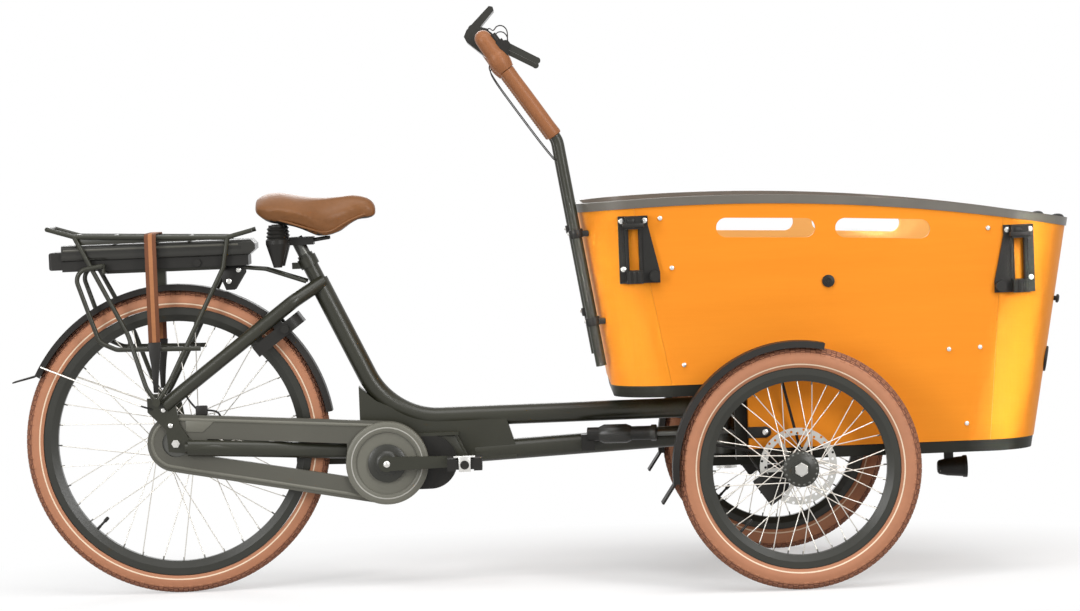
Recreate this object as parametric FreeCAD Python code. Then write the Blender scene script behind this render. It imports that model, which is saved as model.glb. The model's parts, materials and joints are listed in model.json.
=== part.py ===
"""Cargo tricycle: two steered front wheels beside a plywood cargo box, one driven rear wheel.

Millimetres. +X is forward, +Y is to the rider's left and +Z is up. The layout below is measured
forward from the rear axle and up from the ground. Saving moves the origin to the middle of the
overall length, on the ground.
"""

import FreeCAD, Part
import math
import os

Vec = FreeCAD.Vector

# Wheels and tyres
REAR_TYRE_RADIUS = 329.0
REAR_TYRE_WIDTH = 50.0
REAR_TYRE_SEAT_ANGLE = 34.0
REAR_RIM_DEPTH = 30.0
FRONT_TYRE_RADIUS = 252.0
FRONT_TYRE_WIDTH = 52.0
FRONT_TYRE_SEAT_ANGLE = 47.0
FRONT_RIM_DEPTH = 27.0
RIM_WIDTH = 33.0
TYRE_WALL = 5.0
SPOKE_COUNT = 36
SPOKE_RADIUS = 1.1
SPOKE_IN_RIM = 2.0
WHEELBASE = 1313.0
BOX_TO_WHEEL = 80.0

# Hubs, axles and brake discs
FRONT_AXLE_RADIUS = 8.0
REAR_AXLE_RADIUS = 5.0
RUNNING_CLEARANCE = 0.05
BEARING_WIDTH = 10.0
BEARING_WALL = 7.0
FRONT_FLANGE_RADIUS = 31.0
REAR_FLANGE_RADIUS = 46.0
FLANGE_THICKNESS = 4.0
FRONT_HUB_HALF = 42.0
REAR_HUB_HALF = 46.0
DISC_RADIUS = 80.0
DISC_INSET = 4.0
DISC_THICKNESS = 1.8
DISC_SLOTS = 12
CALIPER_INBOARD = 13.0
CALIPER_OUTBOARD = 8.0
DROPOUT_HALF = 67.5
DROPOUT_THICKNESS = 6.0

# Crank, chain and chain case
REAR_TYRE_TO_CRANK = 122.0
CRANK_Z = 269.0
CRANK_LENGTH = 168.0
CRANK_AXLE_RADIUS = 9.0
CRANK_ARM_Y = 92.0
CRANK_ARM_THICKNESS = 13.0
CHAIN_LINE = 58.0
CHAIN_PITCH = 12.7
CHAIN_WIDTH = 8.0
CHAIN_HALF_HEIGHT = 4.0
CHAINRING_TEETH = 38
CHAINRING_WINDOWS = 5
SPROCKET_TEETH = 18
SPROCKET_THICKNESS = 2.4
TOOTH_ROOT = 4.2
TOOTH_TIP = 2.2
TOOTH_CLEARANCE = 0.4
TOOTH_OUTLINE = ((0.0, -TOOTH_ROOT), (0.28, -TOOTH_ROOT), (0.42, TOOTH_TIP), (0.58, TOOTH_TIP),
                 (0.72, -TOOTH_ROOT))
CASE_WALL = 2.0
CASE_INNER_Y = 50.0
CASE_OUTER_Y = 66.0
CASE_FRONT_RADIUS = 89.0
CASE_REAR_RADIUS = 62.0
CASE_BOSS = 12.0
CASE_DISH = 4.0
CASE_RIM = 22.0
CASE_HOLE_RADIUS = 30.0
PEDAL_LENGTH = 92.0
PEDAL_WIDTH = 74.0
PEDAL_HEIGHT = 26.0
PEDAL_SPINDLE_RADIUS = 6.0

# Rear frame tubes
MAIN_TUBE_RADIUS = 21.5
MAIN_TUBE_WALL = 2.5
MAIN_TUBE_BEND = 170.0
CRANK_TO_BEAM = 89.0
LOWER_TUBE_RADIUS = 22.5
LOWER_TUBE_AHEAD = 189.0
LOWER_TUBE_RISE = 11.0
SEAT_CORNER_AHEAD = 8.0
SEAT_TUBE_LEAN = 25.1
SEAT_TUBE_WIDE_TOP = 665.0
SEAT_SLEEVE_HEIGHT = 57.0
SEAT_SLEEVE_RADIUS = 17.0
SEAT_POST_RADIUS = 13.6
SEAT_POST_INSERTION = 170.0
SEAT_STAY_RADIUS = 15.0
SEAT_STAY_FOOT_RISE = 81.0
SEAT_STAY_SPREAD = 50.0
CHAIN_STAY_RADIUS = 11.0
CHAIN_STAY_Y = 34.0
MOTOR_HALF_WIDTH = 44.0
MOTOR_RADIUS = 62.0
MOTOR_NOSE_RADIUS = 58.0
MOTOR_LENGTH = 92.0
MOTOR_COVER = 12.0
MOTOR_PLATE = 7.0
WEB_HALF = 20.0
CARRIER_EYE_RISE = 91.0
CARRIER_EYE_X = -36.0

# Steering head
PIVOT_TO_AXLE = 130.0
YOKE_RISE = 4.0
HEAD_RADIUS = 29.0
KINGPIN_RADIUS = 14.0
HEAD_CLEARANCE = 1.0
STEERING_LIMIT = 35.0

# Front axle beam and steering damper
AXLE_BEAM_SIZE = 40.0
AXLE_BEAM_WALL = 4.0
DAMPER_ARM = 95.0
DAMPER_RISE = 10.0
DAMPER_SPAN = 299.0
DAMPER_FRAME_Y = 44.0
DAMPER_RADIUS = 15.0
DAMPER_ROD_RADIUS = 7.0
DAMPER_EXPOSED_ROD = 152.0
DAMPER_STUD_RADIUS = 5.0
DAMPER_SLOT_WIDTH = 22.0
DAMPER_SLOT_LENGTH = 54.0

# Cargo box
BOX_HALF_WIDTH = 310.0
BOX_WALL = 10.0
BEAM_TO_FLOOR = 16.0
BEAM_TO_TRAY = 23.5
BOX_STEP_X = 1215.0
BOX_REAR_X = 935.0
BOX_REAR_SLOPE = -0.1525
BOX_FRONT_X = 1822.0
BOX_FRONT_SLOPE = 0.195
BOX_REAR_CORNER = 120.0
BOX_FRONT_CORNER_LOW = 105.0
BOX_FRONT_CORNER_HIGH = 150.0
BOX_LOFT_LOW = 240.0
BOX_LOFT_HIGH = 860.0
ARCH_RADIUS = 3970.0
ARCH_X = 1130.0
ARCH_Z = 815.0
RIM_TRIM = 3.0
RIM_TRIM_DROP = 14.0
SEAM_GAP = 0.4
REAR_SEAM_X = 1102.0
REAR_SEAM_SLOPE = -0.1785
FRONT_SEAM_X = 1709.0
FRONT_SEAM_SLOPE = 0.0918
SLOT_HEIGHT = 40.0
REAR_SLOT = (1266.0, 748.0, 206.0, 2.4)
FRONT_SLOT = (1509.0, 737.0, 197.0, 3.2)
FLOOR_THICKNESS = 9.0
FLOOR_CLEARANCE = 0.3
TRAY_WIDTH = 32.0
TRAY_INSET = 1.5
TRAY_HEIGHT = 24.0
TRAY_WALL = 4.0
CROSS_WALL = 3.0
BENCH_THICKNESS = 15.0
REAR_BENCH_Z = 560.0
FRONT_BENCH_Z = 492.0
CLEAT_HEIGHT = 26.0
CLEAT_DEPTH = 22.0
SCREW_RADIUS = 4.5
SCREW_HEAD = 3.0
SCREW_PLACES = ((1047, 776), (1068, 672), (1086, 469), (1638, 480), (1703, 482), (1670, 324), (1728, 729))
ANCHOR_BOLT = (1392, 632)
ANCHOR_BOLT_RADIUS = 13.0
LAMP_X = 1640.0
LAMP_DROP = 58.0
LAMP_LENGTH = 52.0
LAMP_BEZEL = 12.0
LAMP_RADIUS = 24.0
REFLECTORS = ((578, 14, 9), (457, 30, 6))

# Tent pole brackets on the box corners
BRACKET_WIDTH = 62.0
BRACKET_HEIGHT = 140.0
BRACKET_PLATE = 8.0
BRACKET_POLE_RADIUS = 8.0
BRACKET_POLE_OUT = 20.0
BRACKET_EYE_HEIGHT = 27.0
BRACKET_EYE_HALF = 17.0
BRACKET_SOCKET_FLOOR = 4.0
REAR_BRACKET_X = 990.0
REAR_BRACKET_Z = 713.0
FRONT_BRACKET_X = 1790.0
FRONT_BRACKET_Z = 664.0

# Handlebar
BAR_RADIUS = 11.1
BAR_HALF_WIDTH = 240.0
BAR_BEND = 45.0
BAR_GAP = 2.0
BAR_LOW_Z = 470.0
BAR_KNEE_Z = 947.0
BAR_TOP = Vec(694, 0, 1165)
GRIP_RADIUS = 16.0
UPPER_GRIP_RADIUS = 17.0
GRIP_END = 0.82
GRIP_SPLIT = 0.62
BAR_CLAMP_HEIGHT = 26.0
BAR_CLAMP_LEVELS = (565.0, 748.0)
LEVER_PLACE = 0.785
LEVER_PIVOT_OUT = 30.0
LEVER_PIVOT_ALONG = 18.0
LEVER_LENGTH = 74.0
LEVER_THICKNESS = 12.0
LEVER_REST = -29.0
LEVER_PIN_RADIUS = 4.0
HOSE_RADIUS = 2.2
HOSE_BEND = 400.0
CONSOLE_HALF_WIDTH = 62.0

# Saddle, measured from the head of its post
SADDLE_HEAD_RISE = 26.0
SADDLE_CLAMP_DROP = 5.0
SADDLE_CLAMP_TOP = 12.0
POST_PAST_HEAD = 11.0
SADDLE_RAIL_RADIUS = 4.0
SADDLE_STATIONS = ((-90, 64, 90, 66), (-70, 54, 105, 90), (-26, 43, 105, 97), (24, 26, 95, 82),
                   (68, 12, 92, 56), (109, 36, 95, 38), (144, 49, 95, 30), (171, 55, 74, 18))
SPRING_BACK = 43.0
SPRING_Y = 52.0
SPRING_DROP = 51.0
SPRING_RIB = 4.0

# Rear carrier and battery
CARRIER_ROD = 5.0
CARRIER_THIN_ROD = 4.0
CARRIER_HALF_WIDTH = 62.0
CARRIER_CLEARANCE = 58.0
CARRIER_REAR_RISE = 53.0
CARRIER_FRONT_RISE = 39.0
CARRIER_REAR_X = -200.0
CARRIER_FRONT_X = 125.0
HOOP_OUT = 11.0
BATTERY_REAR = -230.0
BATTERY_FRONT = 186.0
BATTERY_HALF_WIDTH = 55.0
BATTERY_HEIGHT = 34.0
BATTERY_FILLET = 9.0
TAIL_LAMP_DEPTH = 29.0
DOCK_HEIGHT = 22.0
LOCK_CLEARANCE = 25.0
LOCK_PLACE_ANGLE = 43.8
LOCK_LEAN = 36.4
LOCK_LENGTH = 122.0
LOCK_MOUTH = 96.0
LOCK_HALF = 56.0
LOCK_MOUTH_HALF = 36.0
LOCK_THICKNESS = 26.0
STRAP_WIDTH = 25.0
STRAP_THICKNESS = 3.0

# Mudguards
MUDGUARD_GAP = 11.0
MUDGUARD_SHEET = 1.6
MUDGUARD_LIP = 13.0
MUDGUARD_SIDE = 5.0
REAR_STAY_RADIUS = 2.0
FRONT_STAY_RADIUS = 3.0
REAR_MUDGUARD_FROM = 9.0
REAR_MUDGUARD_TO = 153.0
FRONT_MUDGUARD_FROM = 77.0
FRONT_MUDGUARD_TO = 185.0
FLAP_LENGTH = 48.0

# Places that follow from the sizes above
REAR_AXLE = Vec(0, 0, REAR_TYRE_RADIUS)
FRONT_AXLE = Vec(WHEELBASE, 0, FRONT_TYRE_RADIUS)
WHEEL_Y = BOX_HALF_WIDTH + BOX_TO_WHEEL
REAR_RIM_RADIUS = (REAR_TYRE_RADIUS - REAR_TYRE_WIDTH / 2
                   * (1 + math.sin(math.radians(REAR_TYRE_SEAT_ANGLE))))
FRONT_RIM_RADIUS = (FRONT_TYRE_RADIUS - FRONT_TYRE_WIDTH / 2
                    * (1 + math.sin(math.radians(FRONT_TYRE_SEAT_ANGLE))))
CRANK_X = REAR_TYRE_RADIUS + REAR_TYRE_TO_CRANK
BEAM_Z = CRANK_Z + CRANK_TO_BEAM
LOWER_TUBE_START = Vec(CRANK_X + LOWER_TUBE_AHEAD, 0, CRANK_Z + LOWER_TUBE_RISE)
SEAT_TUBE_TOP = SEAT_TUBE_WIDE_TOP + SEAT_SLEEVE_HEIGHT
PIVOT_X = WHEELBASE - PIVOT_TO_AXLE
BOX_LEVEL_LOW = FRONT_TYRE_RADIUS + AXLE_BEAM_SIZE / 2 + BEAM_TO_FLOOR
BOX_LEVEL_STEP = BEAM_Z + MAIN_TUBE_RADIUS + BEAM_TO_TRAY + TRAY_HEIGHT
CHAINRING_RADIUS = CHAINRING_TEETH * CHAIN_PITCH / (2 * math.pi)
SPROCKET_RADIUS = SPROCKET_TEETH * CHAIN_PITCH / (2 * math.pi)
SEAT_LEAN = math.radians(SEAT_TUBE_LEAN)
SEAT_AXIS = Vec(-math.sin(SEAT_LEAN), 0, math.cos(SEAT_LEAN))
SEAT_CORNER = Vec(CRANK_X + SEAT_CORNER_AHEAD, 0, BEAM_Z)
HEAD_BOTTOM = FRONT_AXLE.z + YOKE_RISE
HEAD_TOP = BOX_LEVEL_STEP - TRAY_HEIGHT - HEAD_CLEARANCE
LOWER_TUBE_END = Vec(PIVOT_X, 0, (HEAD_BOTTOM + HEAD_TOP) / 2 - 28)
DAMPER_Z = LOWER_TUBE_END.z + DAMPER_RISE
MOTOR_PLATE_Z = CRANK_Z + 52
DROPOUT_Y = DROPOUT_HALF + DROPOUT_THICKNESS / 2
CARRIER_FOOT_Y = DROPOUT_Y + SEAT_STAY_RADIUS + 1
BATTERY_BOTTOM = REAR_AXLE.z + REAR_TYRE_RADIUS + MUDGUARD_GAP + CARRIER_CLEARANCE
KEEL_Z = BATTERY_BOTTOM - DOCK_HEIGHT - 4
AXLE_BEAM_HALF = WHEEL_Y - FRONT_HUB_HALF - 9
BOX_INSIDE_HALF = BOX_HALF_WIDTH - BOX_WALL - FLOOR_CLEARANCE


def on_seat_tube(z):
    """The point of the seat tube's centre line at height z."""
    return SEAT_CORNER + SEAT_AXIS * ((z - BEAM_Z) / SEAT_AXIS.z)


# Basic shapes

def block(x0, x1, y0, y1, z0, z1):
    return Part.makeBox(x1 - x0, y1 - y0, z1 - z0, Vec(x0, y0, z0))


def rod(start, end, radius):
    return Part.makeCylinder(radius, (end - start).Length, start, end - start)


def rod_y(x, z, y0, y1, radius):
    return rod(Vec(x, y0, z), Vec(x, y1, z), radius)


def rod_z(x, y, z0, z1, radius):
    return rod(Vec(x, y, z0), Vec(x, y, z1), radius)


def ring_y(x, z, y0, y1, outer, inner):
    return rod_y(x, z, y0, y1, outer).cut(rod_y(x, z, y0, y1, inner))


def prism_y(points, y0, y1):
    """A polygon given as (x, z) points, pushed along Y."""
    corners = [Vec(x, y0, z) for x, z in points]
    face = Part.Face(Part.makePolygon(corners + corners[:1]))
    return face.extrude(Vec(0, y1 - y0, 0))


def prism_z(points, z0, z1):
    """A polygon given as (x, y) points, pushed up along Z."""
    corners = [Vec(x, y, z0) for x, y in points]
    face = Part.Face(Part.makePolygon(corners + corners[:1]))
    return face.extrude(Vec(0, 0, z1 - z0))


def revolve_y(profile, axle):
    """A closed (y, radius) outline turned about the line along Y through the axle."""
    corners = [Vec(axle.x, axle.y + y, axle.z + r) for y, r in profile]
    face = Part.Face(Part.makePolygon(corners + corners[:1]))
    return face.revolve(axle, Vec(0, 1, 0), 360)


def rounded_path(points, bend):
    """Straight runs joined by tangent arcs of radius bend, or as large as the runs allow."""
    edges = []
    last = points[0]
    for before, corner, after in zip(points, points[1:], points[2:]):
        back = (before - corner).normalize()
        ahead = (after - corner).normalize()
        half_turn = (math.pi - back.getAngle(ahead)) / 2
        shorter = min((before - corner).Length, (after - corner).Length)
        radius = min(bend, 0.45 * shorter / math.tan(half_turn))
        trim = radius * math.tan(half_turn)
        inward = (back + ahead).normalize()
        start = corner + back * trim
        middle = corner + inward * (radius / math.cos(half_turn) - radius)
        end = corner + ahead * trim
        edges.append(Part.LineSegment(last, start).toShape())
        edges.append(Part.Arc(start, middle, end).toShape())
        last = end
    edges.append(Part.LineSegment(last, points[-1]).toShape())
    return Part.Wire(edges)


def pipe(points, radius, bend=30.0):
    """A round bar along a path with rounded corners."""
    if len(points) == 2:
        return rod(points[0], points[1], radius)
    circle = Part.Circle(points[0], points[1] - points[0], radius).toShape()
    return rounded_path(points, bend).makePipeShell([Part.Wire([circle])], True, False)


def tube(points, radius, wall, bend=30.0):
    return pipe(points, radius, bend).cut(pipe(points, radius - wall, bend))


def joined(shapes):
    whole = shapes[0]
    for shape in shapes[1:]:
        whole = whole.fuse(shape)
    merged = whole.copy().removeSplitter()
    return merged if merged.isValid() else whole


def mirrored(shape):
    return shape.mirror(Vec(0, 0, 0), Vec(0, 1, 0))


def both_sides(shape):
    return [shape, mirrored(shape)]


def solids(shapes):
    return Part.Compound([solid for shape in shapes for solid in shape.Solids])


# Wheels

def tyre(axle, radius, width, rim_radius):
    """A hollow casing that stands on the rim's edges and is open towards the rim."""
    middle = radius - width / 2
    drop = middle - rim_radius
    arcs = []
    for reach in (width / 2, width / 2 - TYRE_WALL):
        half = math.sqrt(reach * reach - drop * drop)
        ends = [Vec(axle.x, axle.y + side * half, axle.z + rim_radius) for side in (-1, 1)]
        crown = Vec(axle.x, axle.y, axle.z + middle + reach)
        arcs.append((ends, Part.Arc(ends[0], crown, ends[1]).toShape()))
    (outer_ends, outer), (inner_ends, inner) = arcs
    beads = [Part.LineSegment(a, b).toShape() for a, b in zip(outer_ends, inner_ends)]
    face = Part.Face(Part.Wire(Part.sortEdges([outer, inner] + beads)[0]))
    return face.revolve(axle, Vec(0, 1, 0), 360)


def rim(axle, radius, depth):
    """A channel whose edges carry the tyre and whose inner face holds the spokes."""
    half = RIM_WIDTH / 2
    profile = [(-half, radius), (-half, radius - depth * 0.5), (-half * 0.55, radius - depth),
               (half * 0.55, radius - depth), (half, radius - depth * 0.5), (half, radius),
               (half * 0.4, radius), (half * 0.3, radius - depth * 0.4),
               (-half * 0.3, radius - depth * 0.4), (-half * 0.4, radius)]
    return revolve_y(profile, axle)


def spokes(axle, flange_radius, flange_half, rim_inner):
    """Crossed spokes: pairs leave each flange on its two faces and lean opposite ways."""
    made = []
    lean = math.radians(52)
    step = 2 * math.pi / SPOKE_COUNT
    for index in range(SPOKE_COUNT):
        at_rim = index * step
        side = 1 if index % 2 else -1
        way = 1 if index % 4 < 2 else -1
        at_hub = at_rim + way * lean
        face = flange_half + way * side * (FLANGE_THICKNESS / 2 + SPOKE_RADIUS)
        start = Vec(axle.x + flange_radius * math.sin(at_hub), axle.y + side * face,
                    axle.z + flange_radius * math.cos(at_hub))
        end = Vec(axle.x + rim_inner * math.sin(at_rim), axle.y + side * 3.0,
                  axle.z + rim_inner * math.cos(at_rim))
        made.append(rod(start, end, SPOKE_RADIUS))
    return solids(made)


def hub(axle, axle_radius, flange_radius, flange_half, half_length, barrel):
    """A barrel with two spoke flanges, and a bearing ring pressed into each end."""
    seat = axle_radius + BEARING_WALL
    shell = rod_y(axle.x, axle.z, axle.y - half_length, axle.y + half_length, barrel)
    for side in (-1, 1):
        middle = axle.y + side * flange_half
        shell = shell.fuse(rod_y(axle.x, axle.z, middle - FLANGE_THICKNESS / 2,
                                 middle + FLANGE_THICKNESS / 2, flange_radius + 4))
    shell = shell.cut(rod_y(axle.x, axle.z, axle.y - half_length, axle.y + half_length,
                            axle_radius + 2))
    bearings = []
    for side in (-1, 1):
        outer_end = axle.y + side * half_length
        inner_end = axle.y + side * (half_length - BEARING_WIDTH)
        low, high = sorted((outer_end, inner_end))
        shell = shell.cut(rod_y(axle.x, axle.z, low, high, seat))
        bearings.append(ring_y(axle.x, axle.z, low, high, seat, axle_radius + RUNNING_CLEARANCE))
    return solids([shell.removeSplitter()] + bearings)


def brake_disc(axle, y, bore):
    disc = ring_y(axle.x, axle.z, y - DISC_THICKNESS / 2, y + DISC_THICKNESS / 2, DISC_RADIUS, bore)
    windows = []
    for index in range(DISC_SLOTS):
        angle = 2 * math.pi * index / DISC_SLOTS
        for reach, radius in ((DISC_RADIUS - 7, 3.0), (DISC_RADIUS - 15, 4.0), (bore + 16, 11.0)):
            turn = angle + reach / DISC_RADIUS
            if radius > 10 and index % 2:
                continue
            windows.append(rod_y(axle.x + reach * math.cos(turn), axle.z + reach * math.sin(turn),
                                 y - DISC_THICKNESS, y + DISC_THICKNESS, radius))
    return disc.cut(windows)


def front_disc_y(side):
    return side * (WHEEL_Y - FRONT_HUB_HALF + DISC_INSET)


def front_wheel(side):
    """Tyre, rim, spokes, hub and disc of one front wheel. side is -1 right, 1 left."""
    axle = FRONT_AXLE + Vec(0, side * WHEEL_Y, 0)
    flange_half = FRONT_HUB_HALF - 16
    barrel = FRONT_AXLE_RADIUS + BEARING_WALL + 5
    return {
        "tyre": tyre(axle, FRONT_TYRE_RADIUS, FRONT_TYRE_WIDTH, FRONT_RIM_RADIUS),
        "rim": rim(axle, FRONT_RIM_RADIUS, FRONT_RIM_DEPTH),
        "spokes": spokes(axle, FRONT_FLANGE_RADIUS, flange_half,
                         FRONT_RIM_RADIUS - FRONT_RIM_DEPTH + SPOKE_IN_RIM),
        "hub": hub(axle, FRONT_AXLE_RADIUS, FRONT_FLANGE_RADIUS, flange_half, FRONT_HUB_HALF, barrel),
        "brake_disc": brake_disc(axle, front_disc_y(side), barrel),
    }


def rear_wheel():
    flange_half = REAR_HUB_HALF - 14
    barrel = REAR_FLANGE_RADIUS - 8
    return {
        "tyre": tyre(REAR_AXLE, REAR_TYRE_RADIUS, REAR_TYRE_WIDTH, REAR_RIM_RADIUS),
        "rim": rim(REAR_AXLE, REAR_RIM_RADIUS, REAR_RIM_DEPTH),
        "spokes": spokes(REAR_AXLE, REAR_FLANGE_RADIUS, flange_half,
                         REAR_RIM_RADIUS - REAR_RIM_DEPTH + SPOKE_IN_RIM),
        "hub": hub(REAR_AXLE, REAR_AXLE_RADIUS, REAR_FLANGE_RADIUS, flange_half, REAR_HUB_HALF, barrel),
    }


def rear_axle():
    """The fixed axle with a nut outside each dropout."""
    outside = DROPOUT_HALF + DROPOUT_THICKNESS
    bar = rod_y(0, REAR_AXLE.z, -outside - 14, outside + 14, REAR_AXLE_RADIUS)
    nuts = []
    for side in (-1, 1):
        nut = Part.makePolygon([Vec(9 * math.cos(math.radians(a)), side * outside,
                                    REAR_AXLE.z + 9 * math.sin(math.radians(a)))
                                for a in range(0, 361, 60)])
        nuts.append(Part.Face(nut).extrude(Vec(0, side * 9, 0)))
    return joined([bar] + nuts)


def front_stub(side):
    """A stub axle on the end of the axle beam, with a collar inside the hub and a nut outside it."""
    inner = side * (AXLE_BEAM_HALF - 2)
    outer = side * (WHEEL_Y + FRONT_HUB_HALF + 1)
    shoulder = side * (WHEEL_Y - FRONT_HUB_HALF - 1)
    x, z = FRONT_AXLE.x, FRONT_AXLE.z
    return joined([rod_y(x, z, *sorted((inner, outer)), FRONT_AXLE_RADIUS),
                   rod_y(x, z, *sorted((inner, shoulder)), FRONT_AXLE_RADIUS + 4),
                   rod_y(x, z, *sorted((outer, outer + side * 7)), FRONT_AXLE_RADIUS + 4)])


# Drive

def toothed_wheel(x, z, y, teeth, pitch_radius, bore):
    """A thin wheel with one straight-sided tooth per chain link."""
    outline = []
    for index in range(teeth):
        for share, reach in TOOTH_OUTLINE:
            angle = 2 * math.pi * (index + share) / teeth
            outline.append((x + (pitch_radius + reach) * math.cos(angle),
                            z + (pitch_radius + reach) * math.sin(angle)))
    low, high = y - SPROCKET_THICKNESS / 2, y + SPROCKET_THICKNESS / 2
    return prism_y(outline, low, high).cut(rod_y(x, z, low, high, bore))


def chain_loop(front_radius, rear_radius, y0, y1):
    """The shape that a belt pulled round the crank and the rear axle encloses."""
    crank = Vec(CRANK_X, 0, CRANK_Z)
    run = crank - REAR_AXLE
    along = math.atan2(run.z, run.x)
    open_angle = math.acos((rear_radius - front_radius) / math.hypot(run.x, run.z))
    ends = ((REAR_AXLE, rear_radius, 1), (crank, front_radius, 1),
            (crank, front_radius, -1), (REAR_AXLE, rear_radius, -1))
    corners = []
    for centre, radius, sign in ends:
        angle = along + sign * open_angle
        corners.append((centre.x + radius * math.cos(angle), centre.z + radius * math.sin(angle)))
    return joined([prism_y(corners, y0, y1), rod_y(0, REAR_AXLE.z, y0, y1, rear_radius),
                   rod_y(CRANK_X, CRANK_Z, y0, y1, front_radius)])


def chain():
    """The loop round both toothed wheels, clear of the tips of their teeth."""
    low, high = -CHAIN_LINE - CHAIN_WIDTH / 2, -CHAIN_LINE + CHAIN_WIDTH / 2
    tip = TOOTH_TIP + TOOTH_CLEARANCE
    outer = chain_loop(CHAINRING_RADIUS + CHAIN_HALF_HEIGHT, SPROCKET_RADIUS + CHAIN_HALF_HEIGHT, low, high)
    inner = chain_loop(CHAINRING_RADIUS + tip, SPROCKET_RADIUS + tip, low, high)
    return outer.cut(inner)


def case_gap(grow, y0, y1):
    """The opening between the case's two runs, each edge moved out by grow."""
    rear, crank = REAR_AXLE.z, CRANK_X - 85
    return prism_y([(66 - grow, rear + 7 + grow), (crank + grow, CRANK_Z + 45 + grow),
                    (crank + grow, CRANK_Z - 27 - grow), (82 - grow, rear - 33 - grow),
                    (66 - grow, rear - 25 - grow)], y0, y1)


def chain_case():
    """Outer and inner halves of the case round the chain, with the gap between its two runs."""
    outside, inside = -CASE_OUTER_Y, -CASE_INNER_Y
    boss_face = outside - CASE_BOSS
    solid = chain_loop(CASE_FRONT_RADIUS, CASE_REAR_RADIUS, outside, inside)
    boss = rod_y(CRANK_X, CRANK_Z, boss_face, outside, CASE_FRONT_RADIUS)
    dish = rod_y(CRANK_X, CRANK_Z, boss_face, boss_face + CASE_DISH, CASE_FRONT_RADIUS - CASE_RIM)
    cavity = chain_loop(CASE_FRONT_RADIUS - CASE_WALL, CASE_REAR_RADIUS - CASE_WALL,
                        outside + CASE_WALL, inside - CASE_WALL)
    cavity = cavity.cut(case_gap(CASE_WALL, outside, inside))
    case = solid.cut(case_gap(0, outside, inside)).cut(cavity)
    case = case.fuse(boss.cut(dish).cut(case_gap(0, boss_face, outside)))
    for x, z in ((CRANK_X, CRANK_Z), (0, REAR_AXLE.z)):
        case = case.cut(rod_y(x, z, boss_face, inside, CASE_HOLE_RADIUS))
    halves = []
    for y0, y1 in ((boss_face, -CHAIN_LINE), (-CHAIN_LINE, inside)):
        halves.append(case.common(block(-CASE_REAR_RADIUS, CRANK_X + CASE_FRONT_RADIUS, y0, y1, 0, 600)))
    return solids(halves)


def crank_set():
    """The axle and its two tapered arms, right one forward, left one back, each with a pedal spindle."""
    arms = [rod_y(CRANK_X, CRANK_Z, -CRANK_ARM_Y, CRANK_ARM_Y, CRANK_AXLE_RADIUS)]
    for side, way in ((-1, 1), (1, -1)):
        tip = CRANK_X + way * CRANK_LENGTH
        low, high = sorted((side * CRANK_ARM_Y, side * (CRANK_ARM_Y + CRANK_ARM_THICKNESS)))
        arm = prism_y([(CRANK_X, CRANK_Z - 15), (tip, CRANK_Z - 11), (tip, CRANK_Z + 11),
                       (CRANK_X, CRANK_Z + 15)], low, high)
        spindle_end = side * (CRANK_ARM_Y + CRANK_ARM_THICKNESS + PEDAL_LENGTH + 4)
        spindle = rod_y(tip, CRANK_Z, *sorted((side * CRANK_ARM_Y, spindle_end)), PEDAL_SPINDLE_RADIUS)
        arms.append(joined([arm, rod_y(CRANK_X, CRANK_Z, low, high, 17),
                            rod_y(tip, CRANK_Z, low, high, 13), spindle]))
    return solids(arms)


def chainring():
    """The toothed wheel on the crank axle, with five round windows."""
    wheel = toothed_wheel(CRANK_X, CRANK_Z, -CHAIN_LINE, CHAINRING_TEETH, CHAINRING_RADIUS, CRANK_AXLE_RADIUS)
    windows = []
    for index in range(CHAINRING_WINDOWS):
        centre = on_circle(Vec(CRANK_X, 0, CRANK_Z), CHAINRING_RADIUS * 0.6, index * 360 / CHAINRING_WINDOWS)
        windows.append(rod_y(centre.x, centre.z, -CHAIN_LINE - CHAIN_WIDTH, -CHAIN_LINE + CHAIN_WIDTH,
                             CHAINRING_RADIUS * 0.2))
    return wheel.cut(windows)


def pedal(side):
    """A platform with two treads and two end plates that spins on the arm's spindle."""
    way = -side
    x = CRANK_X + way * CRANK_LENGTH
    start = side * (CRANK_ARM_Y + CRANK_ARM_THICKNESS + 2)
    end = start + side * PEDAL_LENGTH
    low, high = sorted((start, end))
    barrel = rod_y(x, CRANK_Z, low, high, PEDAL_SPINDLE_RADIUS + 5)
    pieces = [barrel]
    for edge in (-1, 1):
        middle = x + edge * (PEDAL_WIDTH / 2 - 9)
        pieces.append(block(middle - 9, middle + 9, low + 4, high - 4,
                            CRANK_Z - PEDAL_HEIGHT / 2, CRANK_Z + PEDAL_HEIGHT / 2))
    for y0 in (low + 4, high - 12):
        pieces.append(block(x - PEDAL_WIDTH / 2 + 6, x + PEDAL_WIDTH / 2 - 6, y0, y0 + 8,
                            CRANK_Z - PEDAL_HEIGHT / 2 + 3, CRANK_Z + PEDAL_HEIGHT / 2 - 3))
    bore = rod_y(x, CRANK_Z, low - 1, high + 1, PEDAL_SPINDLE_RADIUS + RUNNING_CLEARANCE)
    return joined(pieces).cut(bore)


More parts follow.
